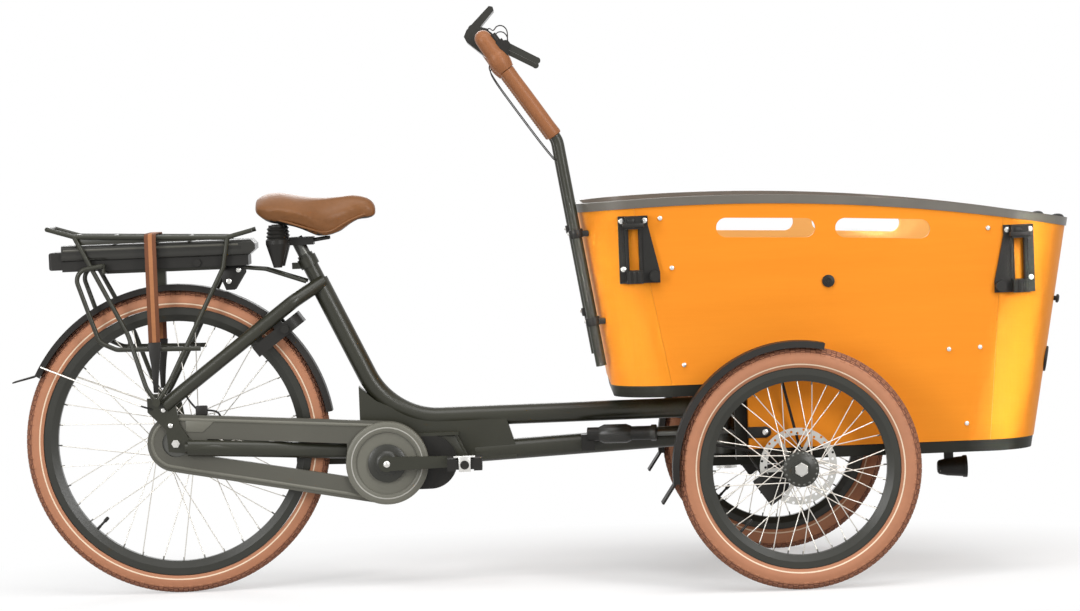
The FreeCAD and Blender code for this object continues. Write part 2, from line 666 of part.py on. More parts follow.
def motor_housing():
    """The drive unit's rounded body round the crank axle, with a bore for it."""
    half = MOTOR_HALF_WIDTH
    nose_x = CRANK_X + MOTOR_LENGTH
    nose_z = CRANK_Z - MOTOR_RADIUS + MOTOR_NOSE_RADIUS
    between = prism_y([(CRANK_X, CRANK_Z - MOTOR_RADIUS), (nose_x, CRANK_Z - MOTOR_RADIUS),
                       (nose_x, nose_z + MOTOR_NOSE_RADIUS), (CRANK_X, CRANK_Z + MOTOR_RADIUS)], -half, half)
    body = joined([rod_y(CRANK_X, CRANK_Z, -half, half, MOTOR_RADIUS),
                   rod_y(nose_x, nose_z, -half, half, MOTOR_NOSE_RADIUS), between])
    cover = rod_y(CRANK_X + 40, CRANK_Z, half, half + MOTOR_COVER, MOTOR_RADIUS - MOTOR_PLATE)
    top = block(CRANK_X - 2 * MOTOR_RADIUS, nose_x + 2 * MOTOR_RADIUS, -half, half,
                MOTOR_PLATE_Z, MOTOR_PLATE_Z + MOTOR_RADIUS)
    bore = rod_y(CRANK_X, CRANK_Z, -half, half + MOTOR_COVER, CRANK_AXLE_RADIUS + RUNNING_CLEARANCE)
    return joined([body.cut(top), cover]).cut(bore)


# Rear frame

def stay_foot(side):
    """Where a seat stay meets the dropout."""
    return Vec(-22, side * DROPOUT_Y, REAR_AXLE.z + SEAT_STAY_FOOT_RISE)


def stay_shoulder(side):
    """Where a seat stay turns in towards the seat tube."""
    top = on_seat_tube(SEAT_TUBE_WIDE_TOP - 3)
    return Vec(top.x - 55, side * SEAT_STAY_SPREAD, top.z - 40)


def seat_stay(side):
    top = on_seat_tube(SEAT_TUBE_WIDE_TOP - 3) + Vec(9, side * 8, 0)
    return pipe([stay_foot(side), stay_shoulder(side), top], SEAT_STAY_RADIUS, 40)


def chain_stay(side):
    """From outside the dropout, through the gap of the chain case, to a foot under the motor bracket."""
    outside = side * (DROPOUT_HALF + DROPOUT_THICKNESS + CHAIN_STAY_RADIUS / 2)
    inside = side * CHAIN_STAY_Y
    low = REAR_AXLE.z - 32
    run = pipe([Vec(20, outside, low + 22), Vec(84, outside, low + 19),
                Vec(CRANK_X - 121, inside + side * 3, low + 1), Vec(CRANK_X - 77, inside, low)],
               CHAIN_STAY_RADIUS, 60)
    foot = rod_z(CRANK_X - 79, inside, low - 2, MOTOR_PLATE_Z + 4, CHAIN_STAY_RADIUS)
    return joined([run, foot])


def motor_bracket():
    """The plate over the drive unit, its gusset to the beam, its web to the lower tube and the case's lug."""
    start = LOWER_TUBE_START
    web = prism_y([(start.x - 60, BEAM_Z), (start.x + 68, BEAM_Z), (start.x + 90, start.z + 8),
                   (start.x + 90, start.z - 14), (start.x - 20, start.z - 16),
                   (start.x - 44, MOTOR_PLATE_Z - 8)], -WEB_HALF, WEB_HALF)
    gusset = prism_y([(CRANK_X - 57, MOTOR_PLATE_Z), (CRANK_X - 57, BEAM_Z + 74), (CRANK_X - 21, BEAM_Z + 42),
                      (CRANK_X + 69, BEAM_Z), (CRANK_X + 149, BEAM_Z), (CRANK_X + 149, MOTOR_PLATE_Z)],
                     -WEB_HALF, WEB_HALF)
    plate_top = MOTOR_PLATE_Z + MOTOR_PLATE
    plate = block(CRANK_X - 93, CRANK_X + 155, -MOTOR_HALF_WIDTH, MOTOR_HALF_WIDTH, MOTOR_PLATE_Z, plate_top)
    lug = block(CRANK_X - 63, CRANK_X - 35, -CASE_INNER_Y, -MOTOR_HALF_WIDTH + 1, MOTOR_PLATE_Z, plate_top)
    return [web, gusset, plate, lug]


def dropout(side):
    """The plate that holds one end of the rear axle, with the pin for the carrier's foot."""
    y = side * DROPOUT_Y
    axle = REAR_AXLE.z
    plate = prism_y([(-16, axle - 18), (22, axle - 22), (34, axle), (10, axle + 40), (0, axle + 99),
                     (-58, axle + 99), (-58, axle + 69), (-20, axle + 30)],
                    y - DROPOUT_THICKNESS / 2, y + DROPOUT_THICKNESS / 2)
    pin = rod_y(CARRIER_EYE_X, axle + CARRIER_EYE_RISE, *sorted((y, side * CARRIER_FOOT_Y)), 6)
    return [plate, pin]


def main_frame():
    """The welded frame: seat tube bent into the beam, lower tube, motor bracket, stays, steering head."""
    seat_top = on_seat_tube(SEAT_TUBE_WIDE_TOP)
    beam_end = Vec(PIVOT_X, 0, BEAM_Z)
    sleeve = [on_seat_tube(SEAT_TUBE_TOP), on_seat_tube(SEAT_TUBE_WIDE_TOP - 25)]
    steel = [pipe([seat_top, SEAT_CORNER, beam_end], MAIN_TUBE_RADIUS, MAIN_TUBE_BEND),
             rod(LOWER_TUBE_START, LOWER_TUBE_END, LOWER_TUBE_RADIUS), pipe(sleeve, SEAT_SLEEVE_RADIUS),
             rod_z(PIVOT_X, 0, HEAD_BOTTOM, HEAD_TOP, HEAD_RADIUS)] + motor_bracket()
    for side in (-1, 1):
        steel += dropout(side) + [chain_stay(side), seat_stay(side)]
    bridge = stay_shoulder(1) + Vec(-19, 0, -14)
    steel.append(rod_y(bridge.x, bridge.z, -SEAT_STAY_SPREAD, SEAT_STAY_SPREAD, 6))
    frame = joined(steel)
    short = Vec(-HEAD_RADIUS, 0, 0)
    along_lower = (LOWER_TUBE_END - LOWER_TUBE_START).normalize()
    beam_bore = [seat_top, SEAT_CORNER, beam_end + short]
    lower_bore = [LOWER_TUBE_START + along_lower * 100, LOWER_TUBE_END + short]
    hollow = [pipe(beam_bore, MAIN_TUBE_RADIUS - MAIN_TUBE_WALL, MAIN_TUBE_BEND),
              pipe(lower_bore, LOWER_TUBE_RADIUS - MAIN_TUBE_WALL),
              pipe([on_seat_tube(SEAT_TUBE_TOP + 1), on_seat_tube(SEAT_TUBE_WIDE_TOP - 40)],
                   SEAT_POST_RADIUS + RUNNING_CLEARANCE),
              rod_z(PIVOT_X, 0, HEAD_BOTTOM, HEAD_TOP, KINGPIN_RADIUS + RUNNING_CLEARANCE),
              rod_y(0, REAR_AXLE.z, -2 * DROPOUT_Y, 2 * DROPOUT_Y, REAR_AXLE_RADIUS)]
    return frame.cut(hollow)


def seat_clamp():
    """The collar round the top of the seat tube with its bolt lug behind."""
    low = on_seat_tube(SEAT_TUBE_TOP - 26)
    high = on_seat_tube(SEAT_TUBE_TOP - 6)
    lug_middle = on_seat_tube(SEAT_TUBE_TOP - 16) + Vec(-SEAT_SLEEVE_RADIUS - 9, 0, -8)
    lug = Part.makeBox(20, 16, 14, lug_middle + Vec(-9, -8, -7))
    bolt = rod(lug_middle + Vec(-4, -13, 0), lug_middle + Vec(-4, 13, 0), 4)
    sleeve = rod(low - SEAT_AXIS * 20, high + SEAT_AXIS * 20, SEAT_SLEEVE_RADIUS)
    return joined([rod(low, high, SEAT_SLEEVE_RADIUS + 4), lug, bolt]).cut(sleeve)


# Mudguards

def mudguard(axle, tyre_radius, tyre_width, start, stop):
    """A bent sheet over the tyre, from angle start to stop, counted up from straight ahead."""
    high = tyre_radius + MUDGUARD_GAP
    low = high - MUDGUARD_LIP
    half = tyre_width / 2 + MUDGUARD_SIDE
    flat = half * 0.8
    outside = [(-half, low), (-flat, high), (flat, high), (half, low)]
    inside = [(half - MUDGUARD_SHEET, low), (flat - 1, high - MUDGUARD_SHEET),
              (1 - flat, high - MUDGUARD_SHEET), (MUDGUARD_SHEET - half, low)]
    corners = [Vec(axle.x + r, axle.y + y, axle.z) for y, r in outside + inside]
    face = Part.Face(Part.makePolygon(corners + corners[:1]))
    face.rotate(axle, Vec(0, -1, 0), start)
    return face.revolve(axle, Vec(0, -1, 0), stop - start)


def on_circle(axle, radius, degrees, y=0.0):
    angle = math.radians(degrees)
    return Vec(axle.x + radius * math.cos(angle), axle.y + y, axle.z + radius * math.sin(angle))


def rear_mudguard():
    """The sheet, its wire stays down to the dropouts and the flap at its tail."""
    high = REAR_TYRE_RADIUS + MUDGUARD_GAP
    half = REAR_TYRE_WIDTH / 2 + MUDGUARD_SIDE
    sheet = mudguard(REAR_AXLE, REAR_TYRE_RADIUS, REAR_TYRE_WIDTH, REAR_MUDGUARD_FROM, REAR_MUDGUARD_TO)
    pieces = [sheet]
    for side in (-1, 1):
        outside = side * (DROPOUT_HALF + DROPOUT_THICKNESS + REAR_STAY_RADIUS + 0.1)
        start = Vec(-48, outside, REAR_AXLE.z + 75)
        edge = on_circle(REAR_AXLE, high - 4, REAR_MUDGUARD_TO - 4, side * (half + REAR_STAY_RADIUS))
        pieces.append(pipe([start, start + Vec(-22, 0, 8), edge], REAR_STAY_RADIUS, 12))
    tail = on_circle(REAR_AXLE, high, REAR_MUDGUARD_TO)
    end_x = tail.x - FLAP_LENGTH
    flap = prism_y([(tail.x, tail.z), (end_x, tail.z - 12), (end_x, tail.z - 15), (tail.x, tail.z - 4)],
                   -half + 4, half - 4)
    return solids(pieces + [flap.cut(sheet)])


def axle_beam(inset=0.0):
    """The square bar between the front stub axles, or its hollow when drawn in by inset."""
    half = AXLE_BEAM_SIZE / 2 - inset
    reach = AXLE_BEAM_HALF - inset
    return block(FRONT_AXLE.x - half, FRONT_AXLE.x + half, -reach, reach,
                 FRONT_AXLE.z - half, FRONT_AXLE.z + half)


def front_mudguards():
    """Sheet, wire stays and flap over each front wheel."""
    high = FRONT_TYRE_RADIUS + MUDGUARD_GAP
    half = FRONT_TYRE_WIDTH / 2 + MUDGUARD_SIDE
    pieces = []
    for side in (-1, 1):
        axle = FRONT_AXLE + Vec(0, side * WHEEL_Y, 0)
        sheet = mudguard(axle, FRONT_TYRE_RADIUS, FRONT_TYRE_WIDTH, FRONT_MUDGUARD_FROM, FRONT_MUDGUARD_TO)
        inner_edge = -side * (half + FRONT_STAY_RADIUS + 0.2)
        foot_y = side * (AXLE_BEAM_HALF - 6)
        stays = []
        for degrees, foot_x in ((100, FRONT_AXLE.x + 10), (165, FRONT_AXLE.x - 14)):
            foot = Vec(foot_x, foot_y, FRONT_AXLE.z + AXLE_BEAM_SIZE / 2 - 2)
            edge = on_circle(axle, high - MUDGUARD_LIP + 2, degrees, inner_edge)
            shoulder = Vec(foot.x + (edge.x - foot.x) * 0.35, foot_y, foot.z + (edge.z - foot.z) * 0.35)
            stays.append(pipe([foot, shoulder, edge], FRONT_STAY_RADIUS, 30))
        end = on_circle(axle, high, FRONT_MUDGUARD_TO)
        hem = end.z - FLAP_LENGTH
        flap = prism_y([(end.x, end.z), (end.x - 26, hem + 10), (end.x - 22, hem + 8), (end.x + 5, end.z)],
                       axle.y - half + 2, axle.y + half - 2)
        pieces += [sheet] + [stay.cut(axle_beam()) for stay in stays] + [flap.cut(sheet)]
    return solids(pieces)


# Front frame and cargo box

def box_outline(z, inset):
    """The box's plan at height z as a closed wire, drawn in by inset."""
    rear = BOX_REAR_X + BOX_REAR_SLOPE * (z - BOX_LEVEL_STEP) + inset
    front = BOX_FRONT_X + BOX_FRONT_SLOPE * (z - BOX_LEVEL_LOW) - inset
    half = BOX_HALF_WIDTH - inset
    share = (z - BOX_LEVEL_LOW) / (ARCH_Z - BOX_LEVEL_LOW)
    rear_corner = BOX_REAR_CORNER - inset
    front_corner = BOX_FRONT_CORNER_LOW + share * (BOX_FRONT_CORNER_HIGH - BOX_FRONT_CORNER_LOW) - inset
    corners = [(rear + rear_corner, -half + rear_corner, rear_corner, 180),
               (front - front_corner, -half + front_corner, front_corner, 270),
               (front - front_corner, half - front_corner, front_corner, 0),
               (rear + rear_corner, half - rear_corner, rear_corner, 90)]
    arcs = []
    for x, y, radius, start in corners:
        on_arc = []
        for degrees in (start, start + 45, start + 90):
            angle = math.radians(degrees)
            on_arc.append(Vec(x + radius * math.cos(angle), y + radius * math.sin(angle), z))
        arcs.append(on_arc)
    edges = []
    for arc, following in zip(arcs, arcs[1:] + arcs[:1]):
        edges.append(Part.Arc(*arc).toShape())
        edges.append(Part.LineSegment(arc[2], following[0]).toShape())
    return Part.Wire(edges)


def box_form(inset):
    """A solid of the box's tapered form, taller than the box, drawn in by inset."""
    return Part.makeLoft([box_outline(BOX_LOFT_LOW, inset), box_outline(BOX_LOFT_HIGH, inset)], True, True)


def below_arch(lift):
    """Everything under the curve of the box's top edge, raised by lift."""
    return rod_y(ARCH_X, ARCH_Z - ARCH_RADIUS, -600, 600, ARCH_RADIUS + lift)


def seam_region(low_x, slope, front_side):
    """All that lies behind the rear seam, or ahead of the front one."""
    far = 3000 if front_side else 0
    return prism_y([(low_x, BOX_LEVEL_LOW - 100), (low_x + slope * 700, BOX_LEVEL_LOW + 600),
                    (far, BOX_LEVEL_LOW + 600), (far, BOX_LEVEL_LOW - 100)], -600, 600)


def hand_slot(x, z, length, tilt):
    """A round-ended bar through both side panels, tilted as the top edge is there."""
    reach = (length - SLOT_HEIGHT) / 2
    slot = joined([block(-reach, reach, -600, 600, -SLOT_HEIGHT / 2, SLOT_HEIGHT / 2),
                   rod_y(-reach, 0, -600, 600, SLOT_HEIGHT / 2), rod_y(reach, 0, -600, 600, SLOT_HEIGHT / 2)])
    slot.rotate(Vec(0, 0, 0), Vec(0, 1, 0), tilt)
    slot.translate(Vec(x, 0, z))
    return slot


def box_walls():
    """The four plywood panels: bent rear and front panels, and two flat sides with hand slots."""
    wall = box_form(0).cut(box_form(BOX_WALL)).common(below_arch(0))
    wall = wall.cut([block(0, BOX_STEP_X, -600, 600, 0, BOX_LEVEL_STEP),
                     block(0, 3000, -600, 600, 0, BOX_LEVEL_LOW),
                     hand_slot(*REAR_SLOT), hand_slot(*FRONT_SLOT)])
    rear = wall.common(seam_region(REAR_SEAM_X, REAR_SEAM_SLOPE, False))
    front = wall.common(seam_region(FRONT_SEAM_X, FRONT_SEAM_SLOPE, True))
    sides = wall.cut([seam_region(REAR_SEAM_X + SEAM_GAP, REAR_SEAM_SLOPE, False),
                      seam_region(FRONT_SEAM_X - SEAM_GAP, FRONT_SEAM_SLOPE, True)])
    right = sides.common(block(0, 3000, -600, 0, 0, 1000))
    left = sides.common(block(0, 3000, 0, 600, 0, 1000))
    return {"box_rear_panel": rear, "box_front_panel": front, "box_side_right": right, "box_side_left": left}


def box_rim():
    """The channel trim pushed over the panels' top edges."""
    band = box_form(-RIM_TRIM).cut(box_form(BOX_WALL + RIM_TRIM))
    band = band.common(below_arch(RIM_TRIM + 1)).cut(below_arch(-RIM_TRIM_DROP))
    wall = box_form(0).cut(box_form(BOX_WALL)).common(below_arch(0))
    return band.cut(wall)


def box_floor():
    """The raised rear floor, the riser of its step and the low front floor."""
    inside = box_form(BOX_WALL + FLOOR_CLEARANCE)
    step_top = BOX_LEVEL_STEP + FLOOR_THICKNESS
    riser_face = BOX_STEP_X + FLOOR_THICKNESS
    rear = block(0, BOX_STEP_X, -600, 600, BOX_LEVEL_STEP, step_top)
    riser = block(BOX_STEP_X, riser_face, -600, 600, BOX_LEVEL_LOW, step_top)
    front = block(riser_face, 3000, -600, 600, BOX_LEVEL_LOW, BOX_LEVEL_LOW + FLOOR_THICKNESS)
    return solids([inside.common(panel) for panel in (rear, riser, front)])


def benches():
    """Two bench boards across the box, each resting on a cleat along either side."""
    side_y = BOX_INSIDE_HALF
    rear_back = BOX_REAR_X + BOX_REAR_SLOPE * (REAR_BENCH_Z - BOX_LEVEL_STEP) + BOX_WALL + 1
    rear_board = [(rear_back, 140 - side_y), (rear_back + 110, -side_y), (BOX_STEP_X + 10, -side_y)]
    front_face = BOX_FRONT_X + BOX_FRONT_SLOPE * (FRONT_BENCH_Z - BOX_LEVEL_LOW) - BOX_WALL - 6
    front_board = [(front_face, side_y - 130), (front_face - 115, side_y), (front_face - 280, side_y)]
    made = []
    for outline, z, cleat in ((rear_board, REAR_BENCH_Z, (BOX_STEP_X - 155, BOX_STEP_X - 15)),
                              (front_board, FRONT_BENCH_Z, (front_face - 236, front_face - 121))):
        other_side = [(x, -y) for x, y in reversed(outline)]
        made.append(prism_z(outline + other_side, z, z + BENCH_THICKNESS))
        for side in (-1, 1):
            low, high = sorted((side * (side_y - CLEAT_DEPTH), side * (BOX_HALF_WIDTH - BOX_WALL)))
            made.append(block(cleat[0], cleat[1], low, high, z - CLEAT_HEIGHT, z))
    return solids(made)


def tray(x0, x1, top):
    """An angle rail round the box's foot: an upright wall outside and a flange under the floor."""
    low = top - TRAY_HEIGHT
    wall = box_form(TRAY_INSET).cut(box_form(TRAY_INSET + TRAY_WALL))
    flange = box_form(TRAY_INSET).cut(box_form(TRAY_WIDTH))
    return [wall.common(block(x0, x1, -600, 600, low, top)),
            flange.common(block(x0, x1, -600, 600, top - TRAY_WALL, top))]


def cross_member(x0, x1, reach, low):
    """A square tube across the frame, open at both ends."""
    wall = CROSS_WALL
    outer = block(x0, x1, -reach, reach, low, low + TRAY_HEIGHT)
    return outer.cut(block(x0 + wall, x1 - wall, -reach, reach, low + wall, low + TRAY_HEIGHT - wall))


def front_frame():
    """The welded carrier of the box: trays under both floors, posts, axle beam with stubs, steering yoke."""
    low_z, high_z = BOX_LEVEL_LOW - TRAY_HEIGHT, BOX_LEVEL_STEP - TRAY_HEIGHT
    reach = BOX_HALF_WIDTH - TRAY_WIDTH + 5
    before_step, behind_step = BOX_STEP_X - 1, BOX_STEP_X - 26
    steel = tray(BOX_STEP_X + 2, 3000, BOX_LEVEL_LOW) + tray(0, before_step, BOX_LEVEL_STEP)
    steel += [axle_beam(), front_stub(-1), front_stub(1),
              cross_member(behind_step, before_step, reach, high_z),
              block(PIVOT_X - 42, PIVOT_X + 20, -reach, reach, high_z, BOX_LEVEL_STEP),
              cross_member(LAMP_X - 50, LAMP_X - 20, reach, low_z),
              cross_member(BOX_STEP_X + 2, BOX_STEP_X + 32, reach, low_z)]
    for side in (-1, 1):
        low, high = sorted((side * reach, side * (reach - 34)))
        steel.append(block(behind_step, before_step, low, high, low_z, BOX_LEVEL_STEP))
        steel.append(block(behind_step, BOX_STEP_X + 32, low, high, low_z, BOX_LEVEL_LOW - 1))
    steel.append(block(PIVOT_X - 34, FRONT_AXLE.x + 10, -40, 40, FRONT_AXLE.z - AXLE_BEAM_SIZE / 2,
                       HEAD_BOTTOM - HEAD_CLEARANCE))
    steel.append(rod_z(PIVOT_X, -DAMPER_ARM, DAMPER_Z - 12, high_z + 2, DAMPER_STUD_RADIUS))
    steel.append(rod_z(PIVOT_X, -DAMPER_ARM, DAMPER_Z + 16, high_z + 2, DAMPER_STUD_RADIUS + 5))
    pin_hole = rod_z(PIVOT_X, 0, 0, BOX_LEVEL_STEP, KINGPIN_RADIUS)
    return joined(steel).cut([axle_beam(AXLE_BEAM_WALL), pin_hole])


def kingpin():
    """The steering pin through both yoke plates and the head, with a head below and a nut on top."""
    axle_low = FRONT_AXLE.z - AXLE_BEAM_SIZE / 2
    pin = rod_z(PIVOT_X, 0, axle_low - 8, BOX_LEVEL_STEP - 1, KINGPIN_RADIUS)
    head = rod_z(PIVOT_X, 0, axle_low - 8, axle_low, KINGPIN_RADIUS + 8)
    return joined([pin, head])


def front_calipers():
    """A brake caliper behind each front hub, gripping the disc, on a lug from the axle beam."""
    made = []
    for side in (-1, 1):
        low, high = sorted((side * (AXLE_BEAM_HALF - 8), side * AXLE_BEAM_HALF))
        behind = FRONT_AXLE.x - AXLE_BEAM_SIZE / 2
        lug = block(behind - 60, behind, low, high, FRONT_AXLE.z - 55, FRONT_AXLE.z + 5)
        made.append(joined([caliper(side, 215), lug]))
    return solids(made)


def caliper(side, degrees):
    """A block with a slot for the disc, centred on the disc's edge, thin on the side of the spokes."""
    disc_y = front_disc_y(side)
    centre = on_circle(FRONT_AXLE, DISC_RADIUS - 2, degrees)
    inner, outer = disc_y - side * CALIPER_INBOARD, disc_y + side * CALIPER_OUTBOARD
    low, high = sorted((inner, outer))
    body = Part.makeBox(34, high - low, 62, Vec(-17, low, -31))
    body = body.fuse(rod_y(0, 0, *sorted((inner - side * 4, disc_y)), 13))
    body.rotate(Vec(0, disc_y, 0), Vec(0, 1, 0), 180 - degrees)
    body.translate(Vec(centre.x, 0, centre.z))
    slot = rod_y(FRONT_AXLE.x, FRONT_AXLE.z, disc_y - 2, disc_y + 2, DISC_RADIUS + 2)
    return joined([body]).cut(slot)


def tent_brackets():
    """Four pole holders: a plate seated on the box corner with an eye above and a socket below."""
    form = box_form(0)
    made = []
    for x, z, way in ((REAR_BRACKET_X, REAR_BRACKET_Z, 1), (FRONT_BRACKET_X, FRONT_BRACKET_Z, -1)):
        face = -BOX_HALF_WIDTH
        outer = face - BRACKET_PLATE
        half, tall = BRACKET_WIDTH / 2, BRACKET_HEIGHT / 2
        pole_y = face - BRACKET_POLE_OUT
        plate = block(x - half, x + half, outer, face + 40, z - tall, z + tall)
        window = block(x - 10, x + 10, outer - 50, face + 60, z - tall + BRACKET_EYE_HEIGHT,
                       z + tall - BRACKET_EYE_HEIGHT)
        wedge = prism_y([(x + way * half, z + tall - 20), (x + way * (half + 22), z - tall + 22),
                         (x + way * (half + 22), z - tall), (x + way * half, z - tall)], outer, face + 40)
        knob = rod_y(x + way * (half + 10), z - tall + 14, outer - 14, outer, 11)
        eyes = []
        for low in (z - tall, z + tall - BRACKET_EYE_HEIGHT):
            eyes.append(block(x - BRACKET_EYE_HALF, x + BRACKET_EYE_HALF, pole_y - BRACKET_EYE_HALF, outer,
                              low, low + BRACKET_EYE_HEIGHT))
        bore = rod_z(x, pole_y, z - tall + BRACKET_SOCKET_FLOOR, z + tall + 1, BRACKET_POLE_RADIUS)
        body = joined([plate.cut(window), wedge, knob] + eyes).cut(bore).cut(form)
        made += both_sides(max(body.Solids, key=lambda solid: solid.Volume))
    return solids(made)


def box_screws():
    """Dome-headed screws along the seams and on the bench cleats, and the dark anchor bolt."""
    heads = [(place, SCREW_RADIUS) for place in SCREW_PLACES] + [(ANCHOR_BOLT, ANCHOR_BOLT_RADIUS)]
    made = []
    for (x, z), radius in heads:
        made += both_sides(rod_y(x, z, -BOX_HALF_WIDTH - SCREW_HEAD, -BOX_HALF_WIDTH, radius))
    return solids(made)


def front_fittings():
    """The lamp hung from the tray by a bracket, and the round reflector and plate on the box's front."""
    ahead = Vec(1, 0, 0)
    tray_low = BOX_LEVEL_LOW - TRAY_HEIGHT
    back = Vec(LAMP_X, 0, tray_low - LAMP_DROP)
    body = Part.makeCone(LAMP_RADIUS - 8, LAMP_RADIUS - 2, LAMP_LENGTH, back, ahead)
    bezel = Part.makeCylinder(LAMP_RADIUS, LAMP_BEZEL, back + ahead * LAMP_LENGTH, ahead)
    hanger = block(LAMP_X + 15, LAMP_X + 35, -5, 5, back.z, tray_low)
    plate = block(LAMP_X - 40, LAMP_X + 40, -14, 14, tray_low - 4, tray_low)
    made = [joined([body, bezel, hanger, plate])]
    outward = Vec(1, 0, -BOX_FRONT_SLOPE).normalize()
    for z, radius, depth in REFLECTORS:
        x = BOX_FRONT_X + BOX_FRONT_SLOPE * (z - BOX_LEVEL_LOW)
        made.append(Part.makeCylinder(radius, depth, Vec(x, 0, z), outward))
    return solids(made)


# Steering damper

def damper_cylinder():
    """The damper's barrel with its foot clamped on the lower tube."""
    start, way, reach = damper_line()
    length = reach - DAMPER_EXPOSED_ROD
    barrel = rod(start, start + way * length, DAMPER_RADIUS)
    bore = rod(start + way * 12, start + way * (length + 1), DAMPER_ROD_RADIUS + RUNNING_CLEARANCE)
    foot = block(start.x - 14, start.x + 14, start.y - 8, -LOWER_TUBE_RADIUS - 0.5, start.z - 34, start.z)
    return joined([barrel, foot]).cut(bore)


def damper_line():
    """The damper's foot, its level way towards the middle of the stud's swing, and its length to there."""
    swing = DAMPER_ARM * (1 + math.cos(math.radians(STEERING_LIMIT))) / 2
    foot = Vec(PIVOT_X - DAMPER_SPAN, -DAMPER_FRAME_Y, DAMPER_Z)
    way = Vec(DAMPER_SPAN, DAMPER_FRAME_Y - swing, 0).normalize()
    return foot, way, DAMPER_SPAN / way.x


def damper_rod():
    """The damper's rod with a slotted plate at its end that lies round the stud."""
    start, way, reach = damper_line()
    half_width, half_length = DAMPER_SLOT_WIDTH / 2, DAMPER_SLOT_LENGTH / 2
    plate = block(-half_width - 6, half_width + 6, -half_length - 6, half_length + 6, -4, 4)
    fork = plate.cut(block(-half_width, half_width, -half_length, half_length, -4, 4))
    fork.rotate(Vec(0, 0, 0), Vec(0, 0, 1), math.degrees(math.atan2(way.y, way.x)))
    fork.translate(start + way * reach)
    inner_end = (reach - DAMPER_EXPOSED_ROD) / 2
    bar = rod(start + way * inner_end, start + way * (reach - half_width - 1), DAMPER_ROD_RADIUS)
    return joined([bar, fork])


# Handlebar

def bar_foot(z):
    """A point of the bar's leg at height z, behind the box's rear panel."""
    wall = BOX_REAR_X + BOX_REAR_SLOPE * (z - BOX_LEVEL_STEP)
    return Vec(wall - BAR_RADIUS - BAR_GAP, 0, z)


def bar_path():
    """The whole bar's corner points from the right foot round to the left foot."""
    half = [bar_foot(BAR_LOW_Z), bar_foot(BAR_KNEE_Z), BAR_TOP]
    right = [point + Vec(0, -BAR_HALF_WIDTH, 0) for point in half]
    left = [point + Vec(0, BAR_HALF_WIDTH, 0) for point in reversed(half)]
    return right + left


def handlebar():
    return tube(bar_path(), BAR_RADIUS, 1.8, BAR_BEND)


def bar_slope():
    return (bar_foot(BAR_KNEE_Z) - bar_foot(BAR_LOW_Z)).normalize()


def on_grip(share):
    """A point of the bar's sloping upper run, from the knee at 0 to the top corner at 1."""
    return bar_foot(BAR_KNEE_Z) + (BAR_TOP - bar_foot(BAR_KNEE_Z)) * share


def right_hand(point):
    """A point of the middle plane moved to the right leg of the bar."""
    return point + Vec(0, -BAR_HALF_WIDTH, 0)


def grips():
    """A long sleeve and an upper hand grip on each side of the bar, and a cover round each top corner."""
    made = []
    for low, high, radius in ((0.07, GRIP_SPLIT - 0.005, GRIP_RADIUS),
                              (GRIP_SPLIT + 0.005, GRIP_END, UPPER_GRIP_RADIUS)):
        run = [right_hand(on_grip(low)), right_hand(on_grip(high))]
        made += both_sides(pipe(run, radius).cut(pipe(run, BAR_RADIUS)))
    corner = right_hand(BAR_TOP)
    top_run = [right_hand(on_grip(0.3)), corner, corner + Vec(0, 180, 0)]
    elbow = pipe(top_run, GRIP_RADIUS, BAR_BEND).cut(pipe(top_run, BAR_RADIUS, BAR_BEND))
    below = rod(right_hand(on_grip(0)), right_hand(on_grip(GRIP_END)), 40)
    beyond = rod(corner + Vec(0, 70, 0), corner + Vec(0, 300, 0), 40)
    return solids(made + both_sides(elbow.cut([below, beyond])))


def bar_clamps():
    """Blocks screwed to the rear panel, two for each leg of the bar."""
    form = box_form(0)
    made = []
    for z in BAR_CLAMP_LEVELS:
        foot = right_hand(bar_foot(z))
        body = block(foot.x - 17, foot.x + 60, foot.y - 18, foot.y + 18,
                     z - BAR_CLAMP_HEIGHT / 2, z + BAR_CLAMP_HEIGHT / 2)
        leg = rod(right_hand(bar_foot(z - 60)), right_hand(bar_foot(z + 60)), BAR_RADIUS + RUNNING_CLEARANCE)
        made += both_sides(body.cut(leg).cut(form))
    return solids(made)


def console():
    """The housing round the crossbar with the display plate standing up towards the rider."""
    profile = [(14, 74), (-36, 24), (-42, 10), (-36, -2), (4, -36), (22, -20), (26, 6), (8, 26),
               (-6, 30), (24, 64), (22, 72)]
    half = CONSOLE_HALF_WIDTH
    body = prism_y([(BAR_TOP.x + x, BAR_TOP.z + z) for x, z in profile], -half, half)
    return body.cut(rod_y(BAR_TOP.x, BAR_TOP.z, -half, half, BAR_RADIUS))


def bar_directions():
    """Along the bar's sloping run towards its top, and square to it away from the rider."""
    along = (BAR_TOP - bar_foot(BAR_KNEE_Z)).normalize()
    return along, Vec(along.z, 0, -along.x)


def lever_pivot():
    """The middle of the brake lever's pin, in front of the upper grip."""
    along, out = bar_directions()
    return on_grip(LEVER_PLACE) + out * LEVER_PIVOT_OUT + along * LEVER_PIVOT_ALONG


